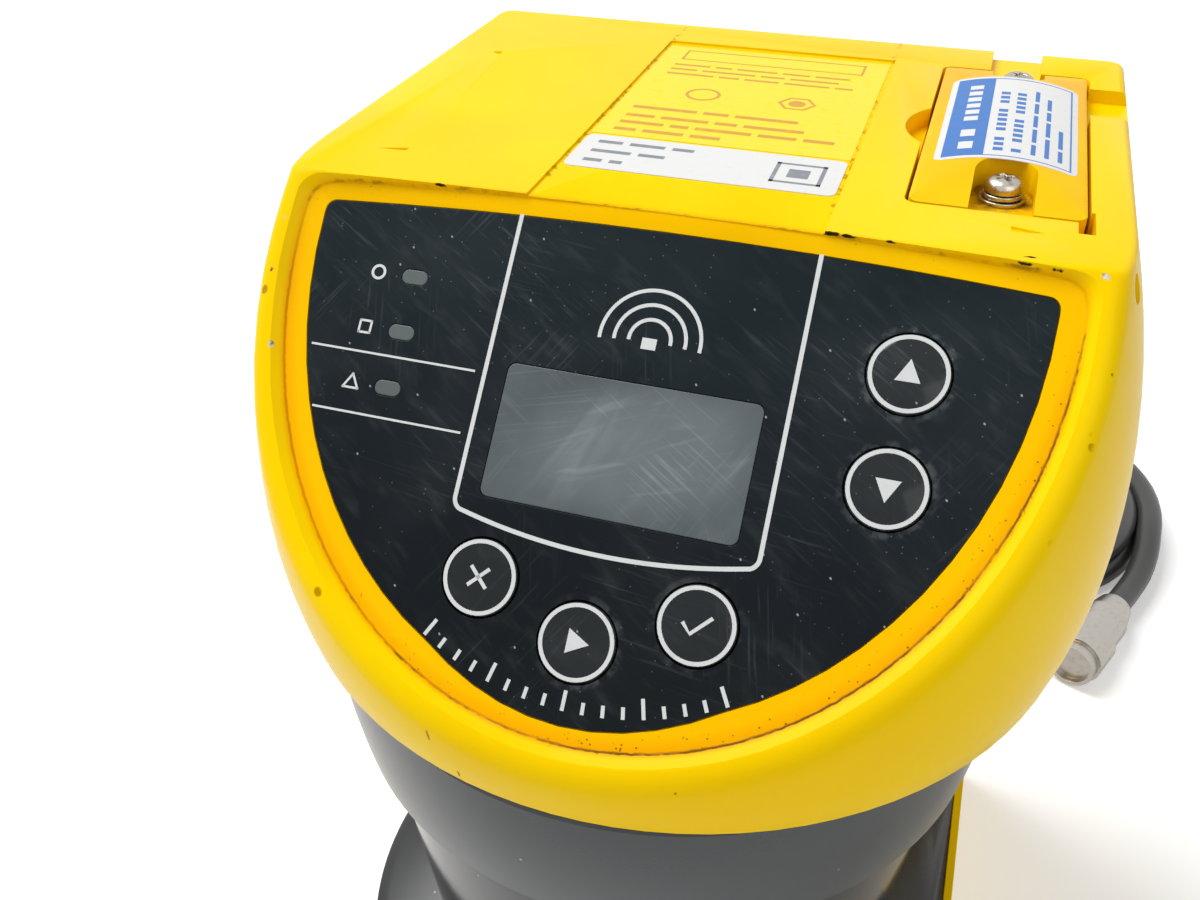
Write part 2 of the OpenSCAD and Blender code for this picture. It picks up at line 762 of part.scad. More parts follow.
sensor_x = motor_r + 0.8;
sensor_base_x = motor_r + 2.4;
module disc_sensor() {
    top = disc_z + 3.1;
    color("#202022") difference() {
        union() {
            translate([sensor_base_x, -3.5, base_h]) cube([disc_r + 5 - sensor_base_x, 7, top - base_h]);
            translate([sensor_x, -2, disc_z - 3.4]) cube([4, 4, top - disc_z + 3.4]);
        }
        translate([0, -5, disc_z - 0.8]) cube([disc_r + 1, 10, disc_t + 1.6]);
    }
}

/* ---- base and column ---- */

bevel_w = 2.4;
bevel_h = 1.5;
edge_z = base_h - bevel_h;
cheek_t = 1.5;
cheek_y = 6;
base_wall = 2.5;
base_back = 40;
plate_t = 2;
plate_inset = 1.6;
column_gap = 0.5;
column_wall = 3;
column_front = disc_r + 3.5;

// round-fronted base shape with a bevelled upper edge
module base_shape(inset, back) {
    low = inset > 0 ? -1 : 0;
    front = [[0, low], [base_r - inset, low], [base_r - inset, edge_z - inset * 0.4],
        [base_r - bevel_w - inset, base_h - inset], [0, base_h - inset]];
    side = [for (p = front) [p[0] > base_r / 2 ? p[0] - cheek_t - 0.1 : 0, p[1]]];
    rotate([0, 0, 180]) rotate_extrude(angle = 180, $fn = 128) polygon(front);
    rotate([90, 0, 180]) linear_extrude(cheek_y) both_sides(front);
    translate([0, cheek_y, 0]) rotate([90, 0, 180]) linear_extrude(back - cheek_y) both_sides(side);
}

module both_sides(half) {
    polygon(half);
    polygon([for (p = half) [-p[0], p[1]]]);
}

// plan of the rear column: flanks along the window's ends, and a flat front
module column_plan(inset) {
    k = inset * sqrt(2) + column_gap;
    y0 = column_front + inset;
    w = base_r - inset;
    polygon([[k - y0, y0], [y0 - k, y0], [w, w + k], [w, back_y - inset], [-w, back_y - inset], [-w, w + k]]);
}

plate_screws_at = [[-34, -12], [34, -12], [-42, 56], [42, 56]];
plate_boss_r = 4;

module base_housing() {
    color("#1c1e20") difference() {
        base_shape(0, base_back - lay);
        difference() {
            base_shape(base_wall, base_back - lay - base_wall);
            for (i = [0, 1])
                translate([plate_screws_at[i][0], plate_screws_at[i][1], plate_t])
                    cylinder(r = plate_boss_r, h = base_h);
        }
        translate([0, 0, -1]) linear_extrude(base_h + 2) column_plan(-0.2);
        plate_space();
        for (i = [0, 1])
            translate([plate_screws_at[i][0], plate_screws_at[i][1], -1]) cylinder(r = screw_r, h = 10);
    }
}

// the room that the bottom plate lies in
module plate_space() {
    translate([0, 0, -1]) plate_shape(plate_inset - 0.1, plate_t + 1);
}

module plate_shape(inset, t) {
    w = base_r - cheek_t - inset;
    intersection() {
        cylinder(r = base_r - inset, h = t, $fn = 128);
        translate([-w, -far, 0]) cube([2 * w, far, t]);
    }
    translate([-w, -eps, 0]) cube([2 * w, back_y - inset + eps, t]);
}

insert_wall = 1.2;
fix_z = head_z / 2 + fix_rise - fix_h / 2;
fix_places = [for (sx = [-1, 1], z = [fix_z, fix_z + fix_h]) [sx * fix_w / 2, z]];
boss_out = fix_r + 3;
outlet_z = 12.5;
outlet_r = 7;

module rear_housing() {
    color("gold") difference() {
        union() {
            difference() {
                union() {
                    linear_extrude(head_z) column_plan(0);
                    translate([-base_r, base_back, 0]) cube([2 * base_r, back_y - base_back, edge_z]);
                    for (s = [-1, 1])
                        translate([s > 0 ? base_r - cheek_t : -base_r, cheek_y, 0]) cube([cheek_t, back_y - cheek_y, edge_z]);
                }
                translate([0, 0, -1]) linear_extrude(far) column_plan(column_wall);
                translate([column_wall - base_r, base_back + column_wall, -1])
                    cube([2 * (base_r - column_wall), back_y - base_back - 2 * column_wall, edge_z - column_wall + 1]);
            }
            intersection() {
                linear_extrude(head_z) column_plan(0);
                for (p = fix_places)
                    translate([p[0], back_y, p[1]]) rotate([90, 0, 0]) cylinder(r = boss_out, h = fix_d + 2);
            }
            for (i = [2, 3])
                translate([plate_screws_at[i][0], plate_screws_at[i][1], 0]) cylinder(r = plate_boss_r, h = edge_z - 1);
        }
        for (p = fix_places)
            translate([p[0], back_y + 1, p[1]]) rotate([90, 0, 0]) cylinder(r = fix_r + insert_wall, h = fix_d + 1);
        translate([0, back_y + 1, outlet_z]) rotate([90, 0, 0]) cylinder(r = outlet_r, h = 12);
        plate_space();
        for (i = [2, 3])
            translate([plate_screws_at[i][0], plate_screws_at[i][1], -1]) cylinder(r = screw_r, h = 10);
    }
}

sink_r = 2.6;
module bottom_plate() {
    color("#2a2c2e") difference() {
        plate_shape(plate_inset, plate_t);
        for (p = plate_screws_at) translate([p[0], p[1], -1]) {
            cylinder(r = screw_r + 0.2, h = 5);
            cylinder(r = sink_r, h = 1 + plate_t / 2);
        }
    }
}

module plate_screws() {
    color("silver") for (p = plate_screws_at) translate([p[0], p[1], 0.2]) difference() {
        union() {
            cylinder(r = sink_r - 0.2, h = plate_t / 2 - 0.2);
            cylinder(r = screw_r, h = 8);
        }
        for (a = [0, 90])
            rotate([0, 0, a]) translate([-1.3, -0.25, -1]) cube([2.6, 0.5, 1.4]);
    }
}

module fixing_inserts() {
    color("goldenrod") for (p = fix_places)
        translate([p[0], back_y, p[1]]) rotate([90, 0, 0]) difference() {
            cylinder(r = fix_r + insert_wall, h = fix_d);
            translate([0, 0, -1]) cylinder(r = fix_r, h = fix_d + 2);
        }
}

module main_board() {
    y = back_y - fix_d - 2;
    w = fix_w + 16;
    color("seagreen") translate([-w / 2, y - board_t, fix_z - 7]) cube([w, board_t, fix_h + 12]);
}

/* ---- outlet and lead ---- */

seal_w = 0.8;
flange_z = back_y + seal_w;
collar_r = 7.2;
collar_end = flange_z + 8.5;
plug_end = collar_end + 20;
ring_r = 9.2;
relief_end = plug_end + 16;

// along the outlet's axis, from a distance behind the mirror's axis
module from_back(y) {
    translate([0, y, outlet_z]) rotate([-90, 0, 0]) children();
}

module outlet_seal() {
    color("#101010") from_back(back_y) difference() {
        cylinder(r = 9.4, h = seal_w);
        translate([0, 0, -1]) cylinder(r = outlet_r, h = 4);
    }
}

module outlet_socket() {
    color("silver") difference() {
        union() {
            from_back(back_y - 8) cylinder(r = outlet_r - 0.1, h = 9);
            from_back(flange_z) cylinder(r = 10.4, h = 2);
            from_back(flange_z) cylinder(r = collar_r, h = collar_end - flange_z);
        }
        from_back(collar_end - 6) difference() {
            cylinder(r = collar_r - 1.2, h = 10);
            cylinder(r = 3.6, h = 4);
        }
    }
}

module outlet_plug() {
    color("gray") from_back(collar_end) union() {
        cylinder(r = collar_r, h = 2.5);
        cylinder(r = collar_r - 1, h = plug_end - collar_end);
        translate([0, 0, 11]) cylinder(r = collar_r + 0.6, h = 7);
    }
}

module coupling_ring() {
    color("silver") from_back(flange_z + 2.4) difference() {
        cylinder(r = ring_r, h = 12);
        translate([0, 0, -1]) cylinder(r = collar_r + run, h = collar_end + 2.5 - flange_z - 2.4 + 1 + run);
        translate([0, 0, -1]) cylinder(r = collar_r - 1 + run, h = 20);
        for (a = [0 : 20 : 340])
            rotate([0, 0, a]) translate([ring_r + 0.5, 0, -1]) cylinder(r = 0.9, h = 20, $fn = 16);
    }
}

module strain_relief() {
    color("#181818") from_back(plug_end) difference() {
        cylinder(r1 = collar_r - 1, r2 = cord_r + 1, h = relief_end - plug_end);
        for (i = [0 : 3])
            translate([0, 0, 4 + i * 3]) difference() {
                cylinder(r = 20, h = 1);
                cylinder(r = cord_r + 0.6, h = 1);
            }
    }
}

coil_x = 55;
coil_y = 166;
connector_r = 6.5;
lead_points = [[0, relief_end, outlet_z], [0, 118, outlet_z], [1, 128, 9.8], [3, 138, 6.4], [7, 148, 4], [12, 157, cord_r],
    [16.5, 168, cord_r]];
tail_points = [[94, 164, cord_r], [93.4, 153, cord_r], [91.4, 143, 4], [88, 134, connector_r], [85, 127, connector_r]];
connector_l = 27;

function unit(v) = v / norm(v);
function cord_ring(points, i) =
    let (n = len(points) - 1)
    let (d = unit(points[min(i + 1, n)] - points[max(i - 1, 0)]))
    let (side = unit(cross(d, [0, 0, 1])))
    let (rise = cross(side, d))
    [for (a = [0 : 30 : 330]) points[i] + cord_r * (cos(a) * side + sin(a) * rise)];

module cord_tube(points) {
    n = len(points);
    rings = [for (i = [0 : n - 1]) each cord_ring(points, i)];
    walls = [for (i = [0 : n - 2], j = [0 : 11])
        let (a = i * 12 + j, b = i * 12 + (j + 1) % 12)
        each [[a, b, b + 12], [a, b + 12, a + 12]]];
    polyhedron(rings, concat([[for (j = [11 : -1 : 0]) j]], walls, [[for (j = [0 : 11]) (n - 1) * 12 + j]]));
}

module cable_lead() {
    color("#101010") cord_tube(lead_points);
}

module cable_tail() {
    color("#101010") cord_tube(tail_points);
}

// closed outer shape of the coil, nearly three cords wide and two high
module cable_coil() {
    d = 2 * cord_r;
    w = 2.75 * cord_r;
    c = cord_r * 0.6;
    color("#101010") translate([coil_x, coil_y, 0]) rotate_extrude()
        polygon([[coil_r - w, c], [coil_r - w + c, 0], [coil_r + w - c, 0], [coil_r + w, c],
            [coil_r + w, 2 * d - c], [coil_r + w - c, 2 * d], [coil_r - w + c, 2 * d], [coil_r - w, 2 * d - c]]);
}

module end_connector() {
    n = len(tail_points);
    p = tail_points[n - 1];
    d = unit(p - tail_points[n - 2]);
    color("silver") translate([p[0], p[1], connector_r]) rotate([0, 0, atan2(d[1], d[0])]) rotate([0, 90, 0]) difference() {
        union() {
            cylinder(r1 = cord_r + 1, r2 = connector_r - 1, h = 6);
            translate([0, 0, 6]) cylinder(r = connector_r - 0.8, h = connector_l - 6);
            translate([0, 0, 15]) cylinder(r = connector_r, h = 9);
        }
        translate([0, 0, connector_l - 1.5]) cylinder(r = connector_r - 1.8, h = 8);
    }
}

head_housing();
control_membrane();
display_pane();
display_module();
lamp(0);  // status_lamp_1
lamp(1);  // status_lamp_2
lamp(2);  // status_lamp_3
key(0);  // key_up
key(1);  // key_down
key(2);  // key_back
key(3);  // key_run
key(4);  // key_confirm
dome_sheet();
keypad_board();
settings_cover();
cover_seal();
cover_screws();
spring_washers();
flat_washers();
service_socket();
service_board();
head_gasket();
window_hood();
scan_window();
window_seal();
optics_frame();
receiver_lens();
laser_module();
receiver_board();
mirror_hub();
scan_mirror();
slotted_disc();
motor_spindle();
scan_motor();
bearing(base_h + motor_h - bearing_t);  // upper_bearing
bearing(base_h + 1.8);  // lower_bearing
disc_sensor();
base_housing();
rear_housing();
bottom_plate();
plate_screws();
fixing_inserts();
main_board();
outlet_socket();
outlet_seal();
outlet_plug();
coupling_ring();
strain_relief();
cable_lead();
cable_coil();
cable_tail();
end_connector();
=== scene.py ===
import math

import bmesh
import bpy
from mathutils import Matrix, Vector


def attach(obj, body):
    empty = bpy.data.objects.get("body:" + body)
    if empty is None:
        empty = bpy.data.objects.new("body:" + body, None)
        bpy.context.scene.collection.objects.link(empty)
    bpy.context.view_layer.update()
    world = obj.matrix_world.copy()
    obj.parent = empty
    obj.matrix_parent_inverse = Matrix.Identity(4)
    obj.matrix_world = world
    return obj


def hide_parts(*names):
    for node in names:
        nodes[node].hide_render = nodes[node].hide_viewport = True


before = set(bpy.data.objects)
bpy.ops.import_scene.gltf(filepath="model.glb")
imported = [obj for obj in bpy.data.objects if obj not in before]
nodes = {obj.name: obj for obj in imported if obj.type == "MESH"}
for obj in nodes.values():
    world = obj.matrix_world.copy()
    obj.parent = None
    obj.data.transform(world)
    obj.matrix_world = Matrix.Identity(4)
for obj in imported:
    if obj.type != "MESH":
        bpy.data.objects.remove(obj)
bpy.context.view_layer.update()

# Sizes of the unit in millimetres, as in the part's source.
MM = Matrix.Diagonal((0.001, 0.001, 0.001, 1))
TOTAL_H = 160
HEAD_Z = 107
HEAD_SHIFT = 5.8
WIDE_R = 56
SWELL_H = 17
LOW_BEND = 68.81
HIGH_BEND = 99.69
PANEL_SLOPE = math.radians(45.5)
PANEL_Y = 22.8
PANEL_Z = 140.7
RIM_W = 3.7
KEY_PROUD = 0.6
BROW_V = 26.4
BROW_BOW = 1.4
LABEL_Z = TOTAL_H - 0.35
COVER_X = 34.7
CROWN_Z = 161.9
ARCH_R = 26.36
SCREW_X = 35.2
SCREW_YS = (14.7, 54.1)
TAB_Z = 158
CORD_R = 3.25
OUTLET_Z = 12.5
CORD_EXIT = (0, 112.1, OUTLET_Z)

# The lead's coil, which the part's source makes as one plain ring.
COIL_MID = (55, 166)
COIL_R = 39.25  # of the outermost turn
COIL_TURNS = 3.5

# Print, which the part's source leaves out.
FRAME_X = 17.5  # half of the white frame line's width
FRAME_TOP = 24.1
FRAME_W = 0.5
SIGN_W = 0.42
LAMP_LINE_W = 0.26
INK_Z = -0.02  # print starts a little under the film
INK_T = 0.05
PRINT_T = 0.04  # print on the labels

KEY_PLACES = {
    "key_up": (28.9, 12.4),
    "key_down": (28.9, 0),
    "key_back": (-12.4, -17.96),
    "key_run": (0, -22.5),
    "key_confirm": (12.4, -17.96),
}

PANEL = Matrix.Translation((0, -PANEL_Y, PANEL_Z)) @ Matrix.Rotation(PANEL_SLOPE, 4, "X")


# ---- finishes ----

class Wire:
    """One socket in a finish, which takes part in sums."""

    def __init__(self, finish, socket):
        self.finish = finish
        self.socket = socket

    def sum(self, operation, *values):
        return self.finish.node("Math", {"operation": operation}, dict(enumerate(values)))

    def __add__(self, other):
        return self.sum("ADD", self, other)

    __radd__ = __add__

    def __sub__(self, other):
        return self.sum("SUBTRACT", self, other)

    def __rsub__(self, other):
        return self.sum("SUBTRACT", other, self)

    def __mul__(self, other):
        return self.sum("MULTIPLY", self, other)

    __rmul__ = __mul__

    def __truediv__(self, other):
        return self.sum("DIVIDE", self, other)

    def __pow__(self, other):
        return self.sum("POWER", self, other)

    def __abs__(self):
        return self.sum("ABSOLUTE", self)

    def most(self, other):
        return self.sum("MAXIMUM", self, other)

    def least(self, other, blend=0.0):
        return self.sum("SMOOTH_MIN", self, other, blend)

    def above(self, other):
        return self.sum("GREATER_THAN", self, other)

    def below(self, other):
        return self.sum("LESS_THAN", self, other)

    def fade(self, start, end):
        """0 before start and 1 past end, or the other way round where start is the larger."""
        return self.finish.node(
            "MapRange",
            {"interpolation_type": "SMOOTHSTEP"},
            {"Value": self, "From Min": start, "From Max": end},
        )


class Finish:
    """A material, built from nodes by short calls."""

    def __init__(self, name, **shader):
        self.material = bpy.data.materials.new(name)
        self.material.use_nodes = True
        self.tree = self.material.node_tree
        self.shader = self.tree.nodes["Principled BSDF"]
        self.place = self.node("TexCoord", out="Object")
        for socket, value in shader.items():
            self.shader.inputs[socket.replace("_", " ")].default_value = value

    def node(self, kind, settings=(), sockets=(), out=0):
        made = self.tree.nodes.new("ShaderNode" + kind)
        for name, value in dict(settings).items():
            setattr(made, name, value)
        for name, value in dict(sockets).items():
            if isinstance(value, Wire):
                self.tree.links.new(value.socket, made.inputs[name])
            else:
                made.inputs[name].default_value = value
        return Wire(self, made.outputs[out])

    def feed(self, **wires):
        for socket, wire in wires.items():
            self.tree.links.new(wire.socket, self.shader.inputs[socket.replace("_", " ")])

    def axes(self, vector=None):
        """X, Y and Z of a place, in millimetres."""
        sockets = {"Vector": vector or self.place, "Scale": 1000.0}
        scaled = self.node("VectorMath", {"operation": "SCALE"}, sockets)
        split = self.node("SeparateXYZ", (), {"Vector": scaled}).socket.node
        return [Wire(self, out) for out in split.outputs]

    def laid(self, scale, tilt, turn):
        """Places turned into a tilted plane and about its normal, then scaled."""
        turned = Matrix.Rotation(tilt, 3, "X") @ Matrix.Rotation(math.radians(turn), 3, "Z")
        sockets = {"Vector": self.place, "Scale": [1 / s for s in scale], "Rotation": turned.to_euler()}
        return self.node("Mapping", {"vector_type": "TEXTURE"}, sockets)

    def grain(self, scale, detail=2.0, vector=None, bend=0.0):
        sockets = {"Vector": vector or self.place, "Scale": scale, "Detail": detail, "Distortion": bend}
        return self.node("TexNoise", (), sockets)

    def spots(self, scale, size, share, vector=None, plane="3D"):
        """1 inside small round spots, of which only a share is kept."""
        sockets = {"Vector": vector or self.place, "Scale": scale}
        cells = self.node("TexVoronoi", {"voronoi_dimensions": plane}, sockets).socket.node
        pick = self.node("SeparateColor", (), {"Color": Wire(self, cells.outputs["Color"])})
        return Wire(self, cells.outputs["Distance"]).fade(size, size * 0.6) * pick.below(share)

    def mix(self, factor, first, second):
        return self.node("Mix", {"data_type": "RGBA"}, {0: factor, 6: first, 7: second}, out=2)

    def bump(self, height, distance, strength=1.0):
        sockets = {"Height": height, "Distance": distance, "Strength": strength}
        self.feed(Normal=self.node("Bump", (), sockets))

    def hairs(self, turn, across, along, share, patch, bend=0.3):
        """Wisps of hair scratches in one direction of the panel, up to 1 on a scratch."""
        drawn = self.grain(1.0, 2.0, self.laid((across, along, 20), PANEL_SLOPE, turn), bend)
        return drawn.fade(share, share + 0.16) * self.grain(patch, 1.0).fade(0.53, 0.7)

    def marks(self, places, stretch=(1, 1, 1), ragged=0.8):
        """Small marks at places in millimetres, each with its size. A squeezed axis draws them out."""
        squeeze = Vector(stretch) * 1000
        here = self.node("VectorMath", {"operation": "MULTIPLY"}, {0: self.place, 1: squeeze})
        nearest = 9.0
        for place, size in places:
            centre = Vector(place) * squeeze / 1000
            gap = self.node("VectorMath", {"operation": "DISTANCE"}, {0: here, 1: centre}, out=1)
            nearest = self.node("Math", {"operation": "MINIMUM"}, {0: gap / size, 1: nearest})
        return (nearest + (self.grain(1800.0, 2.0) - 0.5) * ragged * 2).fade(1.0, 0.6)


def rgb(r, g, b):
    return (r, g, b, 1.0)


INK = rgb(0.64, 0.66, 0.65)
# dark and rust-brown for dirt; on the head they also carry painted shade in the panel's crease
DIRT_AND_SHADE = rgb(0.03, 0.017, 0.008)
RUST_AND_SHADE = rgb(0.30, 0.09, 0.0)


def panel_gap(finish):
    """Millimetres inside the head's side, over the sunk panel, and within its edge, and the place itself."""
    x, y, z = finish.axes()
    h = z - HEAD_Z
    low = h.below(SWELL_H)
    bend = low * (0.5 / LOW_BEND - 0.5 / HIGH_BEND) + 0.5 / HIGH_BEND
    rise = h - SWELL_H
    back = y - HEAD_SHIFT
    inside = WIDE_R - rise * rise * bend - (x * x + back * back) ** 0.5
    over = (z - PANEL_Z) * math.cos(PANEL_SLOPE) - (y + PANEL_Y) * math.sin(PANEL_SLOPE)
    up = (y + PANEL_Y) * math.cos(PANEL_SLOPE) + (z - PANEL_Z) * math.sin(PANEL_SLOPE)
    brow = BROW_V - x * x * (BROW_BOW / 42.5 ** 2) - up
    within = (inside - RIM_W).least(brow, 5.3)
    return inside, over, within, x, y, z


# Marks on the head, each with its place and size in millimetres:
# dark knocks along the brow, chips on the rim, scuffs on the wall.
BROW_KNOCKS = (
    ((18, -4.7, 159.9), 0.42), ((20, -4.75, 159.8), 0.34), ((24.4, -4.85, 159.9), 0.22),
    ((38.3, -5.5, 159.6), 0.34), ((38.8, -4.4, 160), 0.24), ((41.4, -5.7, 159.4), 0.34),
    ((-28.3, -5, 159.8), 0.3),
)
RIM_CHIPS = (
    ((-44.3, -21.1, 144.2), 0.6), ((-47.1, -10.2, 155.4), 0.3), ((-47, -14.8, 150.7), 0.35),
    ((46.3, -6, 159.7), 0.45),
)
WALL_SCUFFS = (
    ((-14.1, -48, 116.4), 0.22), ((-14.4, -47.7, 114.2), 0.26), ((-10.1, -48.4, 112), 0.15),
    ((-11.3, -47.3, 109), 0.2), ((13.3, -48.3, 116.8), 0.2),
)


def near(finish, spot, reach):
    """1 at a spot, fading to 0 at its reach, in millimetres."""
    x, y, z = finish.axes()
    a, b, c = x - spot[0], y - spot[1], z - spot[2]
    return ((a * a + b * b + c * c) ** 0.5).fade(reach, reach * 0.5)


def head_yellow():
    finish = Finish("head_yellow", Specular_IOR_Level=0.04)
    inside, over, within, x, y, z = panel_gap(finish)
    patchy = finish.grain(28.0, 2.0)
    fine = finish.grain(900.0, 3.0)
    coarse = finish.grain(170.0, 3.0)
    # the sunk panel is painted a deeper colour than the rim, with painted shade added in its corner
    sunk = over.fade(1.25, 0.5) * over.above(-1.0) * within.fade(-1.0, -0.2)
    deep_tone_and_corner_shade = sunk * (abs(within).fade(1.5, 0.0) * z.fade(157, 148) * 0.4 + 0.38)
    # a thin broken dark line runs in that corner, partly dirt and partly painted crease shade, heavier to the
    # right and below
    heavy = x * z.fade(157, 148) * 0.006 + z.fade(136, 119) * 0.2
    line = abs(within + 0.12 + (fine - 0.5) * 0.35).fade(0.26, 0.04) * sunk
    broken = (coarse * 0.9 + fine * 0.8 - 0.78 + heavy).fade(0.0, 0.45)
    peppered = finish.spots(2400.0, 0.34, 0.2) * abs(within - 0.3).fade(1.6, 0.1) * sunk
    dirt_and_crease_shade = (line * broken * 0.8).most(peppered * (coarse + heavy).fade(0.45, 0.75) * 0.75)
    rim = abs(inside - 0.7).fade(0.9, 0.2) * abs(over - 0.9).fade(0.8, 0.2) * finish.spots(420.0, 0.3, 0.12)
    specks = finish.spots(230.0, 0.05, 0.25) * over.above(-1.0)
    knocks = finish.marks(BROW_KNOCKS, (0.35, 1, 1))
    bare = finish.marks(RIM_CHIPS)
    scuffs = finish.marks(WALL_SCUFFS, (1, 1, 0.16), 0.5)
    seam = abs(abs(x) - 17.1).fade(0.5, 0.1) * z.above(159.4) * y.above(1) * fine.fade(0.5, 0.62)
    base = finish.mix(patchy.fade(0.3, 0.7), rgb(0.98, 0.665, 0.0), rgb(0.95, 0.605, 0.0))
    # the sunk panel's deeper tone, darkened further in its corner by painted shade
    base = finish.mix(deep_tone_and_corner_shade, base, rgb(0.92, 0.36, 0.0))
    # rust-brown spots on the rim and by the label, and the crease line's painted shade in rust-brown
    base = finish.mix((rim * 0.7).most(line * (z.fade(157, 148) * 0.3 + 0.15)).most(seam * 0.6), base, RUST_AND_SHADE)
    base = finish.mix(bare, base, rgb(0.20, 0.08, 0.01))
    base = finish.mix(bare * (fine + 0.2).fade(0.55, 0.75), base, rgb(0.75, 0.72, 0.6))
    # dark marks: dirt, specks, knocks and scuffs, together with the crease line's painted shade
    marks = dirt_and_crease_shade.most(specks * 0.6).most(knocks).most(scuffs * 0.65)
    finish.feed(Base_Color=finish.mix(marks, base, DIRT_AND_SHADE))
    finish.feed(Roughness=marks * 0.4 + fine * 0.1 + 0.2)
    finish.bump(finish.grain(1900.0, 2.0) - marks * 1.5 - bare * 3, 0.00002, 0.16)
    return finish


def cover_yellow():
    finish = Finish("cover_yellow", Specular_IOR_Level=0.06)
    x, y, z = finish.axes()
    patchy = finish.grain(60.0, 2.0)
    fine = finish.grain(700.0, 3.0)
    front, rear = [near(finish, (SCREW_X, y, TAB_Z), 5.0) for y in SCREW_YS]
    seat = front.most(rear)
    grime = seat * z.below(TAB_Z + 0.6) * (fine + patchy * 0.5).fade(0.45, 0.95)
    specks = finish.spots(420.0, 0.1, 0.15)
    marks = grime.most(specks * 0.6)
    base = finish.mix(patchy.fade(0.3, 0.7), rgb(0.92, 0.55, 0.0), rgb(0.87, 0.46, 0.0))
    finish.feed(Base_Color=finish.mix(marks, base, rgb(0.12, 0.06, 0.01)))
    finish.feed(Roughness=marks * 0.3 + fine * 0.12 + 0.3)
    finish.bump(finish.grain(2000.0, 2.0), 0.00002, 0.25)
    return finish


def column_yellow():
    finish = Finish("column_yellow", Specular_IOR_Level=0.04)
    patchy = finish.grain(30.0, 2.0)
    specks = finish.spots(240.0, 0.08, 0.25)
    base = finish.mix(patchy.fade(0.3, 0.7), rgb(0.98, 0.665, 0.0), rgb(0.95, 0.605, 0.0))
    finish.feed(Base_Color=finish.mix(specks * 0.7, base, DIRT_AND_SHADE))
    finish.feed(Roughness=finish.grain(800.0) * 0.12 + 0.24)
    finish.bump(finish.grain(1900.0), 0.00002, 0.2)
    return finish


def gloss_film(name, upper, lower, wear, level=0.13):
    """Glossy film or key, with wiped haze, hair scratches and white specks."""
    finish = Finish(name, Specular_IOR_Level=level)
    x, y, z = finish.axes()
    haze = finish.grain(38.0, 5.0, bend=0.4)
    wiped = finish.grain(1.0, 4.0, finish.laid((150, 520, 20), PANEL_SLOPE, -35), 0.5)
    hairs = finish.hairs(-33, 2600.0, 130.0, 0.56, 47.0)
    for turn, across, along, share, patch in (
        (58, 2400.0, 150.0, 0.57, 39.0), (84, 2800.0, 90.0, 0.58, 53.0), (12, 2500.0, 110.0, 0.58, 43.0)
    ):
        hairs = hairs.most(finish.hairs(turn, across, along, share, patch))
    flat = finish.laid((1, 1, 20), PANEL_SLOPE, 0)
    dust = finish.spots(700.0, 0.06, 0.2, flat, "2D") * haze.fade(0.4, 0.6)
    grit = finish.spots(1.0, 0.055, 0.08, finish.laid((420, 290, 20), PANEL_SLOPE, 40), "2D")
    up = (z - PANEL_Z) / math.sin(PANEL_SLOPE)
    # pale rings round the keys: partly dust, partly a painted highlight on the raised film round each key
    dust_and_ring_highlight = 0.0
    for kx, kv in KEY_PLACES.values():
        off = ((x - kx) ** 2 + (up - kv) ** 2) ** 0.5
        dust_and_ring_highlight = abs(off - 4.75).fade(0.75, 0.1) + dust_and_ring_highlight
    dust_and_ring_highlight = dust_and_ring_highlight * haze.fade(0.42, 0.62) * finish.grain(700.0, 3.0).fade(0.42, 0.62)
    pale = haze.fade(0.45, 0.75) * 0.01 + wiped.fade(0.5, 0.8) * 0.016 + hairs * 0.022 + dust_and_ring_highlight * 0.06
    pale = (pale + dust * 0.13 + grit * 0.35) * wear
    # painted light: the film is lighter towards the top and darker towards the bottom
    tint = finish.mix(z.fade(122, 158), lower, upper)
    finish.feed(Base_Color=finish.mix(pale, tint, rgb(0.78, 0.84, 0.88)))
    finish.feed(Roughness=haze * 0.1 + hairs * 0.2 + dust * 0.3 + 0.04)
    return finish


def hazed_pane():
    """Clear pane over a dark display, wiped in arcs, with a painted sheen that is brightest in the middle."""
    finish = Finish("display_pane", Specular_IOR_Level=0.25)
    x, y, z = finish.axes()
    cloud = finish.grain(80.0, 5.0, bend=0.8)
    wiped = finish.grain(1.0, 5.0, finish.laid((45, 260, 20), PANEL_SLOPE, 63), 0.9)
    swept = finish.grain(1.0, 4.0, finish.laid((70, 420, 20), PANEL_SLOPE, 22), 1.4)
    hairs = finish.hairs(24, 2300.0, 120.0, 0.55, 60.0)
    for turn, along, share, patch in (
        (58, 90.0, 0.56, 70.0), (-30, 110.0, 0.57, 52.0), (-75, 80.0, 0.56, 64.0)
    ):
        hairs = hairs.most(finish.hairs(turn, 2500.0, along, share, patch))
    low = (z - PANEL_Z + 0.8) / math.sin(PANEL_SLOPE)
    # painted sheen: the haze and its wipe marks and scratches are paler in the middle and darker towards the
    # corners
    middle_sheen = (((x - 1.5) / 13) ** 2 + ((low - x * 0.1) / 7.5) ** 2).fade(1.5, 0.1)
    pale = middle_sheen * 0.075 + cloud.fade(0.35, 0.75) * 0.03 + wiped.fade(0.5, 0.75) * (middle_sheen + 0.25) * 0.05
    pale = pale + swept.fade(0.52, 0.72) * middle_sheen * 0.06 + hairs * (middle_sheen + 0.4) * 0.05
    finish.feed(Base_Color=finish.mix(pale, rgb(0.075, 0.092, 0.10), rgb(0.85, 0.92, 0.96)))
    finish.feed(Roughness=cloud * 0.2 + hairs * 0.2 + 0.12)
    return finish


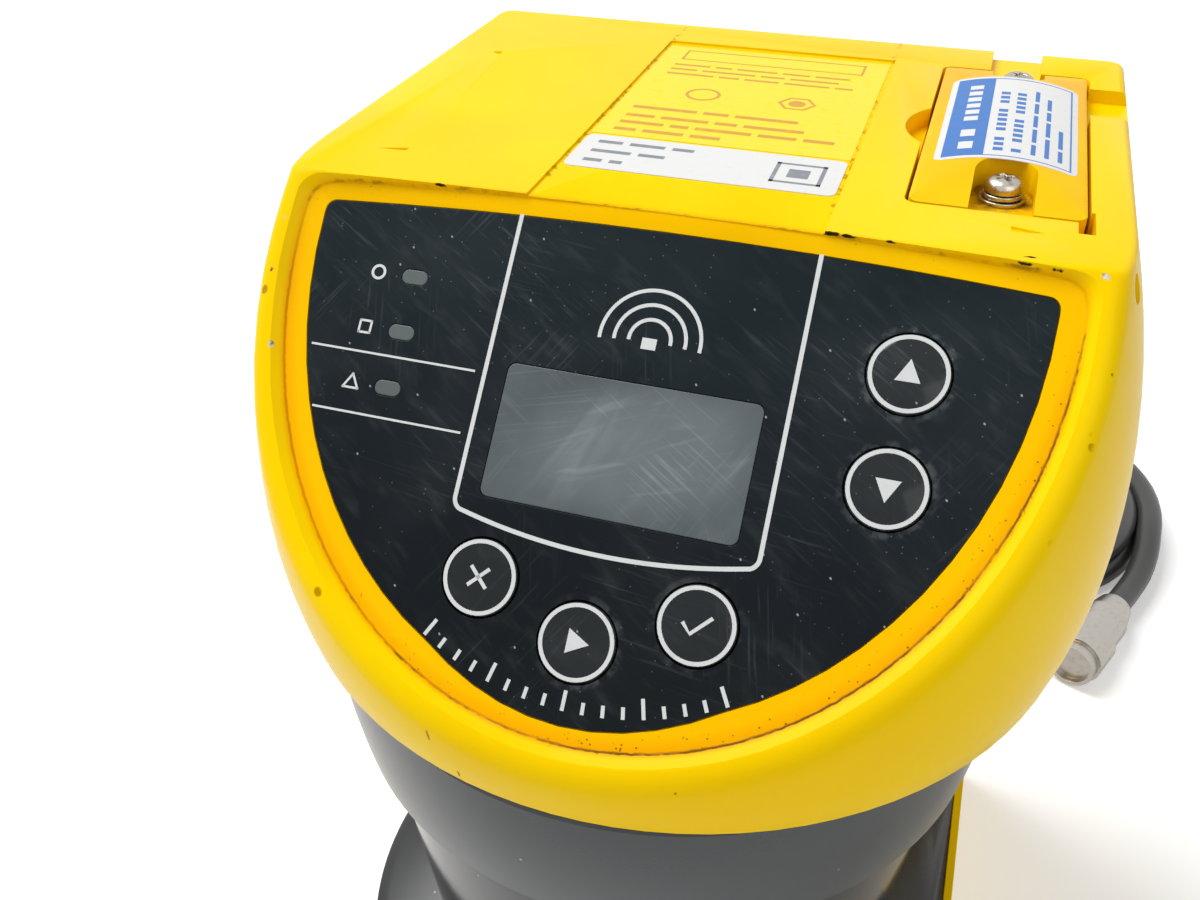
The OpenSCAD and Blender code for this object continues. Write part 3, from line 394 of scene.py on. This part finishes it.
def satin(name, tint, rough, specks=0.0, grain=1800.0, metal=0.0, level=0.5, sheen=0.12):
    """A moulded or coated surface with a little unevenness."""
    finish = Finish(name, Roughness=rough, Metallic=metal, Specular_IOR_Level=level)
    patchy = finish.grain(55.0, 3.0)
    fine = finish.grain(grain, 2.0)
    dark = rgb(*(c * 0.82 for c in tint[:3]))
    shade = finish.mix(patchy.fade(0.3, 0.7), tint, dark)
    if specks:
        shade = finish.mix(finish.spots(420.0, 0.09, specks), shade, rgb(0.45, 0.45, 0.43))
    finish.feed(Base_Color=shade)
    finish.feed(Roughness=patchy * sheen + fine * 0.08 + (rough - 0.1))
    finish.bump(fine, 0.00002, 0.3)
    return finish


def worn_metal(name, tint, rough, spotted=1.0):
    """Bare metal with fine marks and a few dark stains."""
    finish = Finish(name, Roughness=rough, Metallic=1.0)
    stains = finish.grain(900.0, 3.0)
    fine = finish.grain(5000.0, 2.0)
    dark = rgb(tint[0] * 0.45, tint[1] * 0.38, tint[2] * 0.3)
    finish.feed(Base_Color=finish.mix(stains.fade(0.5, 0.78) * spotted, tint, dark))
    finish.feed(Roughness=stains * 0.25 + fine * 0.1 + (rough - 0.15))
    finish.bump(fine, 0.00002, 0.5)
    return finish


def printed(name, tint, worn):
    """Ink, thin in places so that the ground shows."""
    finish = Finish(name, Roughness=0.45, Specular_IOR_Level=0.3)
    thin = finish.grain(700.0, 4.0).fade(0.5, 0.8)
    finish.feed(Base_Color=finish.mix(thin * 0.4, tint, worn))
    finish.feed(Roughness=thin * 0.2 + 0.35)
    return finish


FINISHES = {
    "yellow_paint": head_yellow(),
    "cover_yellow": cover_yellow(),
    "column": column_yellow(),
    # the two tints of the panel film and the keys are a lighter top and a darker bottom, as painted light
    "membrane_black": gloss_film("panel_film", rgb(0.006, 0.0125, 0.0165), rgb(0.002, 0.0045, 0.007), 1.0),
    "key_black": gloss_film("key_film", rgb(0.005, 0.009, 0.011), rgb(0.003, 0.006, 0.008), 0.8, 0.3),
    "pane_grey": hazed_pane(),
    "lamp_grey": satin("lamp_frost", rgb(0.10, 0.122, 0.122), 0.3, level=0.3),
    "polyester": satin("dome_film", rgb(0.8, 0.8, 0.78), 0.3),
    "board_green": satin("board_lacquer", rgb(0.02, 0.2, 0.08), 0.4),
    "display_frame": worn_metal("pressed_frame", rgb(0.6, 0.6, 0.6), 0.4),
    "steel": worn_metal("screw_steel", rgb(0.5, 0.46, 0.4), 0.24),
    "plug_metal": worn_metal("plug_metal", rgb(0.5, 0.47, 0.43), 0.3, spotted=0.25),
    "rubber_black": satin("seal_rubber", rgb(0.02, 0.02, 0.02), 0.6),
    "hood_grey": satin("hood_grey", rgb(0.027, 0.034, 0.036), 0.2, specks=0.03, grain=3200.0),
    "window_black": satin("window_black", rgb(0.004, 0.003, 0.004), 0.16, specks=0.05, sheen=0.05),
    "lens_glass": satin("lens_glass", rgb(0.6, 0.68, 0.75), 0.15),
    "laser_brass": worn_metal("laser_barrel", rgb(0.7, 0.5, 0.22), 0.35),
    "mirror_face": worn_metal("mirror_face", rgb(0.9, 0.9, 0.92), 0.16),
    "rotor_grey": worn_metal("rotor_metal", rgb(0.5, 0.51, 0.53), 0.4),
    "disc_black": satin("disc_black", rgb(0.04, 0.04, 0.04), 0.5),
    "cast_grey": worn_metal("cast_metal", rgb(0.42, 0.43, 0.45), 0.5),
    "base_black": satin("base_black", rgb(0.012, 0.013, 0.014), 0.3, specks=0.08, grain=2600.0),
    "plate_black": satin("plate_black", rgb(0.03, 0.03, 0.033), 0.5),
    "brass": worn_metal("insert_brass", rgb(0.75, 0.56, 0.26), 0.35),
    "cord_black": satin("cord_jacket", rgb(0.05, 0.05, 0.05), 0.32, specks=0.03, grain=1500.0),
    "ink": printed("white_ink", INK, rgb(0.45, 0.48, 0.5)),
    "label": printed("label_white", rgb(0.72, 0.72, 0.71), rgb(0.66, 0.66, 0.63)),
    "label_film": printed("label_film", rgb(0.98, 0.69, 0.0), rgb(0.95, 0.62, 0.0)),
    "label_brown": printed("label_brown", rgb(0.62, 0.30, 0.01), rgb(0.92, 0.6, 0.0)),
    "label_blue": printed("label_blue", rgb(0.02, 0.15, 0.48), rgb(0.07, 0.25, 0.6)),
    "label_grey": printed("label_grey", rgb(0.2, 0.22, 0.25), rgb(0.5, 0.5, 0.5)),
}


# ---- making pieces ----

def piece(name, bm, finish, body="body", angle=30, replaces=()):
    """A finished piece from a mesh in millimetres."""
    bmesh.ops.recalc_face_normals(bm, faces=bm.faces)
    bm.transform(MM)
    mesh = bpy.data.meshes.new(name)
    bm.to_mesh(mesh)
    bm.free()
    return settle(name, mesh, finish, body, angle, replaces)


def settle(name, mesh, finish, body, angle, replaces=()):
    """An object for a mesh, with its finish and body."""
    mesh.materials.clear()
    mesh.materials.append(FINISHES[finish].material)
    mesh.shade_smooth()
    mesh.set_sharp_from_angle(angle=math.radians(angle))
    made = bpy.data.objects.new(name, mesh)
    bpy.context.scene.collection.objects.link(made)
    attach(made, body)
    if replaces:
        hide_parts(*replaces)
    return made


def dressed(node, slot, body="body", finish=None, angle=32, edge=0.2, flat=0.3):
    """A joined copy of a CAD node with smooth faces and eased edges, in the node's place.

    Faces within flat degrees of each other are joined first. Round walls shine evenly when they keep
    all their facets, with flat at 0.
    """
    bm = bmesh.new()
    bm.from_mesh(nodes[node].data)
    bmesh.ops.remove_doubles(bm, verts=bm.verts, dist=0.000002)
    if flat:
        bmesh.ops.dissolve_limit(bm, angle_limit=math.radians(flat), verts=bm.verts, edges=bm.edges)
    mesh = bpy.data.meshes.new(node + "_dressed")
    bm.to_mesh(mesh)
    bm.free()
    made = settle(node + "_dressed", mesh, finish or slot, body, angle, (node,))
    if edge:
        bevel = made.modifiers.new("eased edges", "BEVEL")
        bevel.width = edge * 0.001
        bevel.segments = 2
        bevel.limit_method = "ANGLE"
        bevel.angle_limit = math.radians(angle)
        bevel.harden_normals = True
    return made


def add(bm, local, place):
    """Puts one small mesh into another, at a place."""
    local.transform(place)
    mesh = bpy.data.meshes.new("part")
    local.to_mesh(mesh)
    local.free()
    bm.from_mesh(mesh)
    bpy.data.meshes.remove(mesh)


def plate(bm, place, outline, thick):
    """A flat plate over an outline."""
    local = bmesh.new()
    face = local.faces.new([local.verts.new((x, y, 0)) for x, y in outline])
    raised = bmesh.ops.extrude_face_region(local, geom=[face])["geom"]
    top = [v for v in raised if isinstance(v, bmesh.types.BMVert)]
    bmesh.ops.translate(local, verts=top, vec=(0, 0, thick))
    add(bm, local, place)


def bar(bm, place, x, y, w, l, thick):
    """A flat bar about its middle."""
    left, right, low, high = x - w / 2, x + w / 2, y - l / 2, y + l / 2
    plate(bm, place, [(left, low), (right, low), (right, high), (left, high)], thick)


def band(bm, place, inner, outer, thick, start=0, angle=360, steps=48, rise=0):
    """A flat ring, or part of one from an angle on."""
    local = bmesh.new()
    section = ((inner, 0, 0), (outer, 0, 0), (outer, 0, thick), (inner, 0, thick))
    face = local.faces.new([local.verts.new(corner) for corner in section])
    geom = list(local.verts) + list(local.edges)
    full = angle == 360
    if full:
        bmesh.ops.delete(local, geom=[face], context="FACES_ONLY")
    else:
        geom.append(face)
    bmesh.ops.rotate(local, verts=local.verts, matrix=Matrix.Rotation(math.radians(start), 3, "Z"))
    bmesh.ops.spin(local, geom=geom, axis=(0, 0, 1), cent=(0, 0, 0), angle=math.radians(angle), steps=steps,
                   use_merge=full, dvec=(0, 0, rise / steps))
    add(bm, local, place)


def line_outline(points, width):
    """Both sides of a line of a given width."""
    left, right = [], []
    for i, (x, y) in enumerate(points):
        before, after = points[max(i - 1, 0)], points[min(i + 1, len(points) - 1)]
        way = Vector((after[0] - before[0], after[1] - before[1])).normalized() * width / 2
        left.append((x - way.y, y + way.x))
        right.append((x + way.y, y - way.x))
    return left + right[::-1]


def arc(mid, radius, start, end, steps=8):
    """Points along an arc from one angle to another."""
    angles = [math.radians(start + (end - start) * i / steps) for i in range(steps + 1)]
    return [(mid[0] + radius * math.cos(a), mid[1] + radius * math.sin(a)) for a in angles]


def rounded(x0, x1, y0, y1, r):
    """An outline with round corners."""
    outline = []
    for x, y, start in (
        (x1 - r, y1 - r, 0), (x0 + r, y1 - r, 90), (x0 + r, y0 + r, 180), (x1 - r, y0 + r, 270)
    ):
        outline += arc((x, y), r, start, start + 90, 5)
    return outline


def on_panel(x=0, v=0, h=0, turn=0):
    """A place on the sloping panel: across, up along it, and out of it."""
    return PANEL @ Matrix.Translation((x, v, h)) @ Matrix.Rotation(math.radians(turn), 4, "Z")


# ---- camera ----

def camera():
    made = bpy.data.objects.new("camera", bpy.data.cameras.new("camera"))
    made.data.lens = 35.186
    made.data.sensor_width = 36
    made.data.clip_start = 0.01
    right = Vector((0.948451, 0.316813, -0.008392))
    up = Vector((-0.17759, 0.553213, 0.81389))
    back = Vector((0.262494, -0.770444, 0.580958))
    turned = Matrix((right, up, back)).transposed().to_4x4()
    made.matrix_world = Matrix.Translation((0.031882, -0.123669, 0.214926)) @ turned
    bpy.context.scene.collection.objects.link(made)
    bpy.context.scene.camera = made


# ---- lead ----

def coil_point(turned):
    """A point of the coil after it has turned so many degrees: in along the floor, and out on top."""
    whole = COIL_TURNS * 360
    reach = COIL_R - 2 * CORD_R * min(turned, whole - turned) / 360
    climb = min(max((turned - whole / 2) / 100 + 0.5, 0), 1)
    climb = climb * climb * (3 - 2 * climb)
    a = math.radians(180 - turned)
    return (COIL_MID[0] + reach * math.cos(a), COIL_MID[1] + reach * math.sin(a), CORD_R + 2 * CORD_R * climb)


def smooth_route(points, parts):
    """A smooth line through the points, with so many short parts between each two."""
    ends = [points[0]] + points + [points[-1]]
    route = []
    for a, b, c, d in zip(ends, ends[1:], ends[2:], ends[3:]):
        a, b, c, d = Vector(a), Vector(b), Vector(c), Vector(d)
        for i in range(parts):
            t = i / parts
            bend = (2 * a - 5 * b + 4 * c - d) * t * t / 2
            twist = (3 * b - a - 3 * c + d) * t ** 3 / 2
            route.append(b + (c - a) * t / 2 + bend + twist)
    return route + [Vector(points[-1])]


def lead():
    """The cord from the outlet through its coil to the connector."""
    lead_part = [CORD_EXIT, (0, 118, 12.2), (1, 128, 9.8), (3, 138, 6.5), (7, 148, 4.2), (12.2, 157.5, 3.3)]
    coil = [coil_point(a) for a in range(0, int(COIL_TURNS * 360) + 1, 15)]
    tail = [(93.8, 157.5, 9.3), (93.1, 150, 7.7), (91.2, 142, 6.4), (88.1, 134, 6.2), (85, 127, 6.5)]
    route = smooth_route(lead_part + coil + tail, 2)
    curve = bpy.data.curves.new("lead", "CURVE")
    curve.dimensions = "3D"
    curve.bevel_depth = CORD_R * 0.001
    curve.bevel_resolution = 4
    curve.use_fill_caps = True
    spline = curve.splines.new("POLY")
    spline.points.add(len(route) - 1)
    for point, place in zip(spline.points, route):
        point.co = (*(place * 0.001), 1)
    spline.use_smooth = True
    curve.materials.append(FINISHES["cord_black"].material)
    made = bpy.data.objects.new("lead", curve)
    bpy.context.scene.collection.objects.link(made)
    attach(made, "body")
    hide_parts("cable_lead", "cable_coil", "cable_tail")
    length = sum((b - a).length for a, b in zip(route, route[1:])) * 0.001
    connector = dressed("end_connector", "steel", finish="plug_metal", edge=0.3)
    dressed("strain_relief", "rubber_black", edge=0.2)


# ---- panel ----

def frame_line():
    """The white line down both sides of the display and under it."""
    bow_mid, bow_r, half = 59.7, 72.6, 13.1
    bow = arc((0, bow_mid), bow_r, 270 - half, 270 + half, 24)
    side = [(-FRAME_X, y) for y in (FRAME_TOP, 12, 0, -9.6)]
    left = side + arc((-16.1, -9.7), 1.4, 180, 245, 6)
    right = [(-x, y) for x, y in reversed(left)]
    return left + bow[1:-1] + right


def panel_print():
    """The white print on the film. Its signs are plain ones."""
    bm = bmesh.new()
    outline = line_outline(frame_line(), FRAME_W)
    half = len(outline) // 2
    for i in range(half - 1):
        quad = [outline[i], outline[i + 1], outline[-i - 2], outline[-i - 1]]
        plate(bm, on_panel(h=INK_Z), quad, INK_T)
    frame_side = -18.7
    for left, y, length in ((-39.9, 4.85, 21.2), (-37.8, -2.5, 19.1)):
        bar(bm, on_panel(h=INK_Z), (left + frame_side) / 2, y, length, LAMP_LINE_W, INK_T)
    # beside the three lamps: a ring, a square and a triangle
    signs_x = -33.6
    band(bm, on_panel(signs_x, 14.7, INK_Z), 0.62, 0.95, INK_T, steps=24)
    for turn in range(4):
        bar(bm, on_panel(signs_x, 7.9, INK_Z, turn * 90), 0, 0.72, 1.72, 0.28, INK_T)
    for turn in range(3):
        bar(bm, on_panel(signs_x, 0.95, INK_Z, turn * 120), 0, -0.55, 2.2, 0.26, INK_T)
    # a row of ticks along the lower edge
    ticks_mid, ticks_r, tick_step = 6, 35.9, 3.6
    for i in range(-8, 9):
        tall = 2.2 if i % 4 == 0 else 1.3
        bar(bm, on_panel(0, ticks_mid, INK_Z, i * tick_step), 0, -ticks_r + tall / 2, SIGN_W, tall, INK_T)
    # a fan over the display, for what the unit watches
    for radius in (2.2, 3.9, 5.6):
        place = on_panel(0.7, 11.6, INK_Z)
        band(bm, place, radius, radius + SIGN_W, INK_T, start=-5, angle=190, steps=40)
    bar(bm, on_panel(0.7, 11.2, INK_Z), 0, 0, 1.7, 1.3, INK_T)
    piece("panel_print", bm, "ink")


KEY_SIGNS = {
    "key_up": [[(-1.35, -0.95), (1.35, -0.95), (0, 1.55)]],
    "key_down": [[(-1.35, 0.95), (0, -1.55), (1.35, 0.95)]],
    "key_run": [[(-0.95, -1.35), (1.55, 0), (-0.95, 1.35)]],
    "key_back": [
        line_outline([(-1.1, 1.1), (1.1, -1.1)], SIGN_W),
        line_outline([(-1.1, -1.1), (1.1, 1.1)], SIGN_W),
    ],
    "key_confirm": [line_outline([(-1.5, 0.1), (-0.5, -1.0), (1.6, 1.1)], SIGN_W)],
}


def keys():
    for key, signs in KEY_SIGNS.items():
        x, v = KEY_PLACES[key]
        dressed(key, "key_black", body=key, angle=40, edge=0.28)
        bm = bmesh.new()
        band(bm, on_panel(x, v, 0.2), 3.77, 4.23, 0.13)
        for sign in signs:
            plate(bm, on_panel(x, v, 0.4), sign, KEY_PROUD - 0.4 + 0.03)
        piece(key + "_print", bm, "ink", body=key)


# ---- labels ----

def rows(bm, place, left, y, widths, tall, gap, thick):
    """A row of plain bars, as filler for small print."""
    x = left
    for width in widths:
        bar(bm, place, x + width / 2, y, width, tall, thick)
        x += width + gap


def top_labels():
    """The yellow and the white label in the top's recess, with plain bars for print."""
    place = Matrix.Translation((0, 0, LABEL_Z))
    film = bmesh.new()
    plate(film, place, [(-16.9, 17.2), (16.9, 17.2), (16.9, 56.5), (-16.9, 56.5)], 0.06)
    piece("label_film", film, "label_film")
    white = bmesh.new()
    plate(white, place, rounded(-16.8, 16.8, 5.6, 16.5, 1.1), 0.12)
    piece("white_label", white, "label")
    over = place @ Matrix.Translation((0, 0, 0.04))
    bm = bmesh.new()
    for y, widths in (
        (19.5, (3, 5.5, 4)), (22.2, (6, 2.5, 7.5, 5, 4)), (24.9, (4, 6.5, 3, 8)), (28.2, (9, 3.5, 8.5))
    ):
        rows(bm, over, -14.5, y, widths, 1.0, 0.9, PRINT_T)
    for y, widths in ((43.5, (7, 3, 5, 6.5, 2.5)), (45.6, (4, 8, 3.5, 7)), (47.7, (5.5, 2.5, 6, 4, 5))):
        rows(bm, over, -14, y, widths, 0.7, 0.8, PRINT_T)
    band(bm, over @ Matrix.Translation((-6.5, 35.5, 0)), 2.0, 2.5, PRINT_T)
    band(bm, over @ Matrix.Translation((6.8, 35.5, 0)), 2.2, 2.7, PRINT_T, steps=6)
    band(bm, over @ Matrix.Translation((6.8, 35.5, 0)), 0, 1.2, PRINT_T)
    for w, l, x, y in (
        (27, 0.35, 0, 54.6), (27, 0.35, 0, 50.4), (0.35, 4.5, -13.5, 52.5), (0.35, 4.5, 13.5, 52.5)
    ):
        bar(bm, over, x, y, w, l, PRINT_T)
    piece("label_print", bm, "label_brown")
    grey = bmesh.new()
    above = place @ Matrix.Translation((0, 0, 0.1))
    for y, widths in ((14.2, (3.2, 4.6, 2.8)), (11.1, (5.2, 3.4)), (8.0, (2.4, 1.6))):
        rows(grey, above, -14.8, y, widths, 0.9, 1.0, PRINT_T)
    for w, l, x, y in (
        (6.2, 0.5, 11.6, 8.1), (6.2, 0.5, 11.6, 13.8), (0.5, 6.2, 8.75, 10.95), (0.5, 6.2, 14.45, 10.95)
    ):
        bar(grey, above, x, y, w, l, PRINT_T)
    bar(grey, above, 11.6, 10.95, 2.6, 2.6, PRINT_T)
    piece("white_label_print", grey, "label_grey")


def crowned(bm):
    """Bends flat pieces over the cover's crown: their z is the height over it."""
    for v in bm.verts:
        across = v.co.x - COVER_X
        v.co.z += CROWN_Z - ARCH_R + math.sqrt(ARCH_R ** 2 - across ** 2)


def crown_patch(bm, x0, x1, y0, y1, low, high, corner=0.0):
    """A thin patch that lies on the crown, with rounded corners where asked."""
    local = bmesh.new()
    outline = rounded(x0, x1, y0, y1, corner) if corner else [(x0, y0), (x1, y0), (x1, y1), (x0, y1)]
    plate(local, Matrix.Translation((0, 0, low)), outline, high - low)
    steps = round((x1 - x0) / 0.9)
    for i in range(1, steps):
        cut = (x0 + (x1 - x0) * i / steps, 0, 0)
        geom = list(local.verts) + list(local.edges) + list(local.faces)
        bmesh.ops.bisect_plane(local, geom=geom, plane_co=cut, plane_no=(1, 0, 0))
    add(bm, local, Matrix.Identity(4))


def cover_label():
    """The sticker on the cover's crown."""
    ground, blue, signs, small = bmesh.new(), bmesh.new(), bmesh.new(), bmesh.new()
    crown_patch(ground, 26.6, 43.2, 17.4, 48.6, -0.02, 0.08, 1.2)
    crown_patch(blue, 27.4, 32.2, 18.2, 47.8, 0.06, 0.1)
    crown_patch(blue, 42.25, 42.45, 18.2, 47.8, 0.06, 0.1)
    for y in (18.2, 47.6):
        crown_patch(blue, 32.2, 42.3, y, y + 0.2, 0.06, 0.1)
    # plain blocks stand in the places of the signs and the small print
    for y, length in (
        (20.5, 2.4), (24.8, 2.4), (30.6, 1.6), (33.1, 1.6),
        (35.6, 1.6), (38.1, 1.6), (40.6, 1.6), (43.1, 1.6),
    ):
        crown_patch(signs, 29.1, 30.8, y, y + length, 0.09, 0.12)
    for x, size, step in ((33.2, 1.15, 1.75), (35.3, 1.15, 1.75)):
        for i in range(13):
            if (i * 7 + round(x)) % 6:
                crown_patch(small, x, x + size, 20 + step * i, 20 + step * i + size * 0.9, 0.06, 0.1)
    for x, lengths in ((37.6, (3.4, 4.6, 4.2, 3.8, 4)), (39.2, (6.4, 5, 3.1, 4.2)), (40.8, (3.6, 6.2))):
        y = 20
        for length in lengths:
            crown_patch(small, x, x + 0.55, y, y + length, 0.06, 0.1)
            y += length + 0.9
    for name, bm, finish in (
        ("cover_label", ground, "label"), ("cover_label_blue", blue, "label_blue"),
        ("cover_label_signs", signs, "label"), ("cover_label_print", small, "label_blue"),
    ):
        crowned(bm)
        piece(name, bm, finish, angle=50)


# ---- screws ----

def screw_head(bm, place):
    """A pan head with a cross recess."""
    local = bmesh.new()
    profile = [(0, 0), (2.15, 0), (2.2, 0.15), (2.2, 0.7), (2.05, 1.1), (1.75, 1.4), (1.35, 1.58)]
    verts = [local.verts.new((x, 0, z)) for x, z in profile]
    edges = [local.edges.new(pair) for pair in zip(verts, verts[1:])]
    bmesh.ops.spin(local, geom=verts + edges, axis=(0, 0, 1), cent=(0, 0, 0), angle=math.tau, steps=32,
                   use_merge=True)
    bmesh.ops.remove_doubles(local, verts=local.verts, dist=0.0001)
    rim = [e for e in local.edges if e.is_boundary]
    arm, half = 1.12, 0.3
    cross = [(arm, -half), (arm, half), (half, half), (half, arm), (-half, arm), (-half, half),
             (-arm, half), (-arm, -half), (-half, -half), (-half, -arm), (half, -arm), (half, -half)]
    mouth = [local.verts.new((x, y, 1.62)) for x, y in cross]
    lips = [local.edges.new((mouth[i], mouth[(i + 1) % 12])) for i in range(12)]
    bmesh.ops.triangle_fill(local, use_beauty=True, edges=rim + lips)
    sunk = bmesh.ops.extrude_edge_only(local, edges=lips)["geom"]
    floor = [v for v in sunk if isinstance(v, bmesh.types.BMVert)]
    bmesh.ops.scale(local, verts=floor, vec=(0.72, 0.72, 1))
    bmesh.ops.translate(local, verts=floor, vec=(0, 0, -0.85))
    bmesh.ops.contextual_create(local, geom=[e for e in sunk if isinstance(e, bmesh.types.BMEdge)])
    add(bm, local, place)


def cover_fastenings():
    """Both cover screws, each on its spring washer and flat washer."""
    screws, springs, flats = bmesh.new(), bmesh.new(), bmesh.new()
    for y, turn in zip(SCREW_YS, (28, 65)):
        seat = Matrix.Translation((SCREW_X, y, TAB_Z))
        band(flats, seat, 1.35, 2.75, 0.5)
        on_flat = seat @ Matrix.Translation((0, 0, 0.5))
        band(springs, on_flat, 1.4, 2.35, 0.5, start=100, angle=345, steps=44, rise=0.22)
        on_spring = seat @ Matrix.Translation((0, 0, 1.2))
        screw_head(screws, on_spring @ Matrix.Rotation(math.radians(turn), 4, "Z"))
    heads = piece("cover_screw_heads", screws, "steel", replaces=("cover_screws",))
    spring = piece("spring_washer_turns", springs, "steel", replaces=("spring_washers",))
    flat = piece("flat_washer_rings", flats, "steel", replaces=("flat_washers",))
    for made in (heads, spring, flat):
        ease = made.modifiers.new("eased edges", "BEVEL")
        ease.width = 0.00008
        ease.segments = 2
        ease.limit_method = "ANGLE"
        ease.angle_limit = math.radians(40)


# ---- floor and light ----

def studio():
    """A pale floor, an even world and two lamps."""
    bm = bmesh.new()
    bmesh.ops.create_circle(bm, cap_ends=True, segments=64, radius=6)
    mesh = bpy.data.meshes.new("floor")
    bm.to_mesh(mesh)
    bm.free()
    floor = bpy.data.objects.new("floor", mesh)
    bpy.context.scene.collection.objects.link(floor)
    pale = Finish("floor", Base_Color=rgb(0.9, 0.9, 0.9), Roughness=0.8, Specular_IOR_Level=0.1)
    seen = pale.node("LightPath", out="Is Camera Ray")
    away = pale.node("VectorMath", {"operation": "LENGTH"}, {0: pale.place}, out=1).fade(0.3, 1.6)
    glow = pale.mix(away, rgb(0.3, 0.3, 0.3), rgb(0.75, 0.75, 0.75))
    pale.feed(Emission_Color=pale.mix(seen, rgb(0, 0, 0), glow))
    pale.shader.inputs["Emission Strength"].default_value = 1
    mesh.materials.append(pale.material)

    world = bpy.data.worlds.new("studio")
    bpy.context.scene.world = world
    world.use_nodes = True
    tree = world.node_tree
    ground = tree.nodes["Background"]
    paths = tree.nodes.new("ShaderNodeLightPath")
    direct = tree.nodes.new("ShaderNodeMath")
    direct.operation = "MAXIMUM"
    tree.links.new(paths.outputs["Is Camera Ray"], direct.inputs[0])
    tree.links.new(paths.outputs["Is Glossy Ray"], direct.inputs[1])
    either = tree.nodes.new("ShaderNodeMath")
    either.operation = "MAXIMUM"
    tree.links.new(direct.outputs[0], either.inputs[0])
    tree.links.new(paths.outputs["Is Transmission Ray"], either.inputs[1])
    shade = tree.nodes.new("ShaderNodeMix")
    shade.data_type = "RGBA"
    shade.inputs[6].default_value = rgb(0.4, 0.4, 0.4)
    shade.inputs[7].default_value = rgb(1, 1, 1)
    tree.links.new(either.outputs[0], shade.inputs[0])
    tree.links.new(shade.outputs[2], ground.inputs["Color"])

    for name, spot, aim, size, power in (
        ("key light", (-0.7, 0.1, 1.3), (0, 0, 0.12), 0.9, 18.5),
        ("fill light", (0.9, -0.9, 1.0), (0, 0, 0.1), 1.2, 4.5),
    ):
        lamp = bpy.data.objects.new(name, bpy.data.lights.new(name, "AREA"))
        lamp.data.shape = "SQUARE"
        lamp.data.size = size
        lamp.data.energy = power
        lamp.location = spot
        lamp.rotation_euler = (Vector(aim) - Vector(spot)).to_track_quat("-Z", "Y").to_euler()
        bpy.context.scene.collection.objects.link(lamp)
    bpy.context.scene.view_settings.view_transform = "Standard"


# Nodes that show as they are, by the finish that they take.
PLAIN = {
    "board_green": ("keypad_board", "service_board", "receiver_board", "main_board"),
    "polyester": ("dome_sheet",),
    "display_frame": ("display_module",),
    "rubber_black": ("cover_seal", "window_seal", "service_socket"),
    "cast_grey": ("optics_frame", "scan_motor"),
    "lens_glass": ("receiver_lens",),
    "laser_brass": ("laser_module",),
    "rotor_grey": ("mirror_hub", "motor_spindle", "upper_bearing", "lower_bearing"),
    "mirror_face": ("scan_mirror",),
    "disc_black": ("slotted_disc", "disc_sensor"),
    "steel": ("plate_screws",),
}

camera()
lead()
for slot, names in PLAIN.items():
    for name in names:
        nodes[name].data.materials.clear()
        nodes[name].data.materials.append(FINISHES[slot].material)
dressed("head_housing", "yellow_paint", edge=0.18)
dressed("control_membrane", "membrane_black", edge=0.08)
dressed("display_pane", "pane_grey", edge=0.15)
for i in (1, 2, 3):
    dressed(f"status_lamp_{i}", "lamp_grey", edge=0.15)
keys()
panel_print()
dressed("settings_cover", "cover_yellow", edge=0.3)
top_labels()
cover_label()
cover_fastenings()
dressed("head_gasket", "rubber_black", edge=0.15)
dressed("window_hood", "hood_grey", edge=0.25)
dressed("scan_window", "window_black", edge=0.25, flat=0)
dressed("base_housing", "base_black", edge=0, flat=0)
dressed("rear_housing", "yellow_paint", finish="column", edge=0.4)
dressed("bottom_plate", "plate_black", edge=0.15)
dressed("fixing_inserts", "brass", edge=0.12)
dressed("outlet_seal", "rubber_black", edge=0.1)
dressed("outlet_socket", "steel", finish="plug_metal", edge=0.2)
dressed("outlet_plug", "rubber_black", edge=0.3)
dressed("coupling_ring", "steel", finish="plug_metal", edge=0.2)
studio()
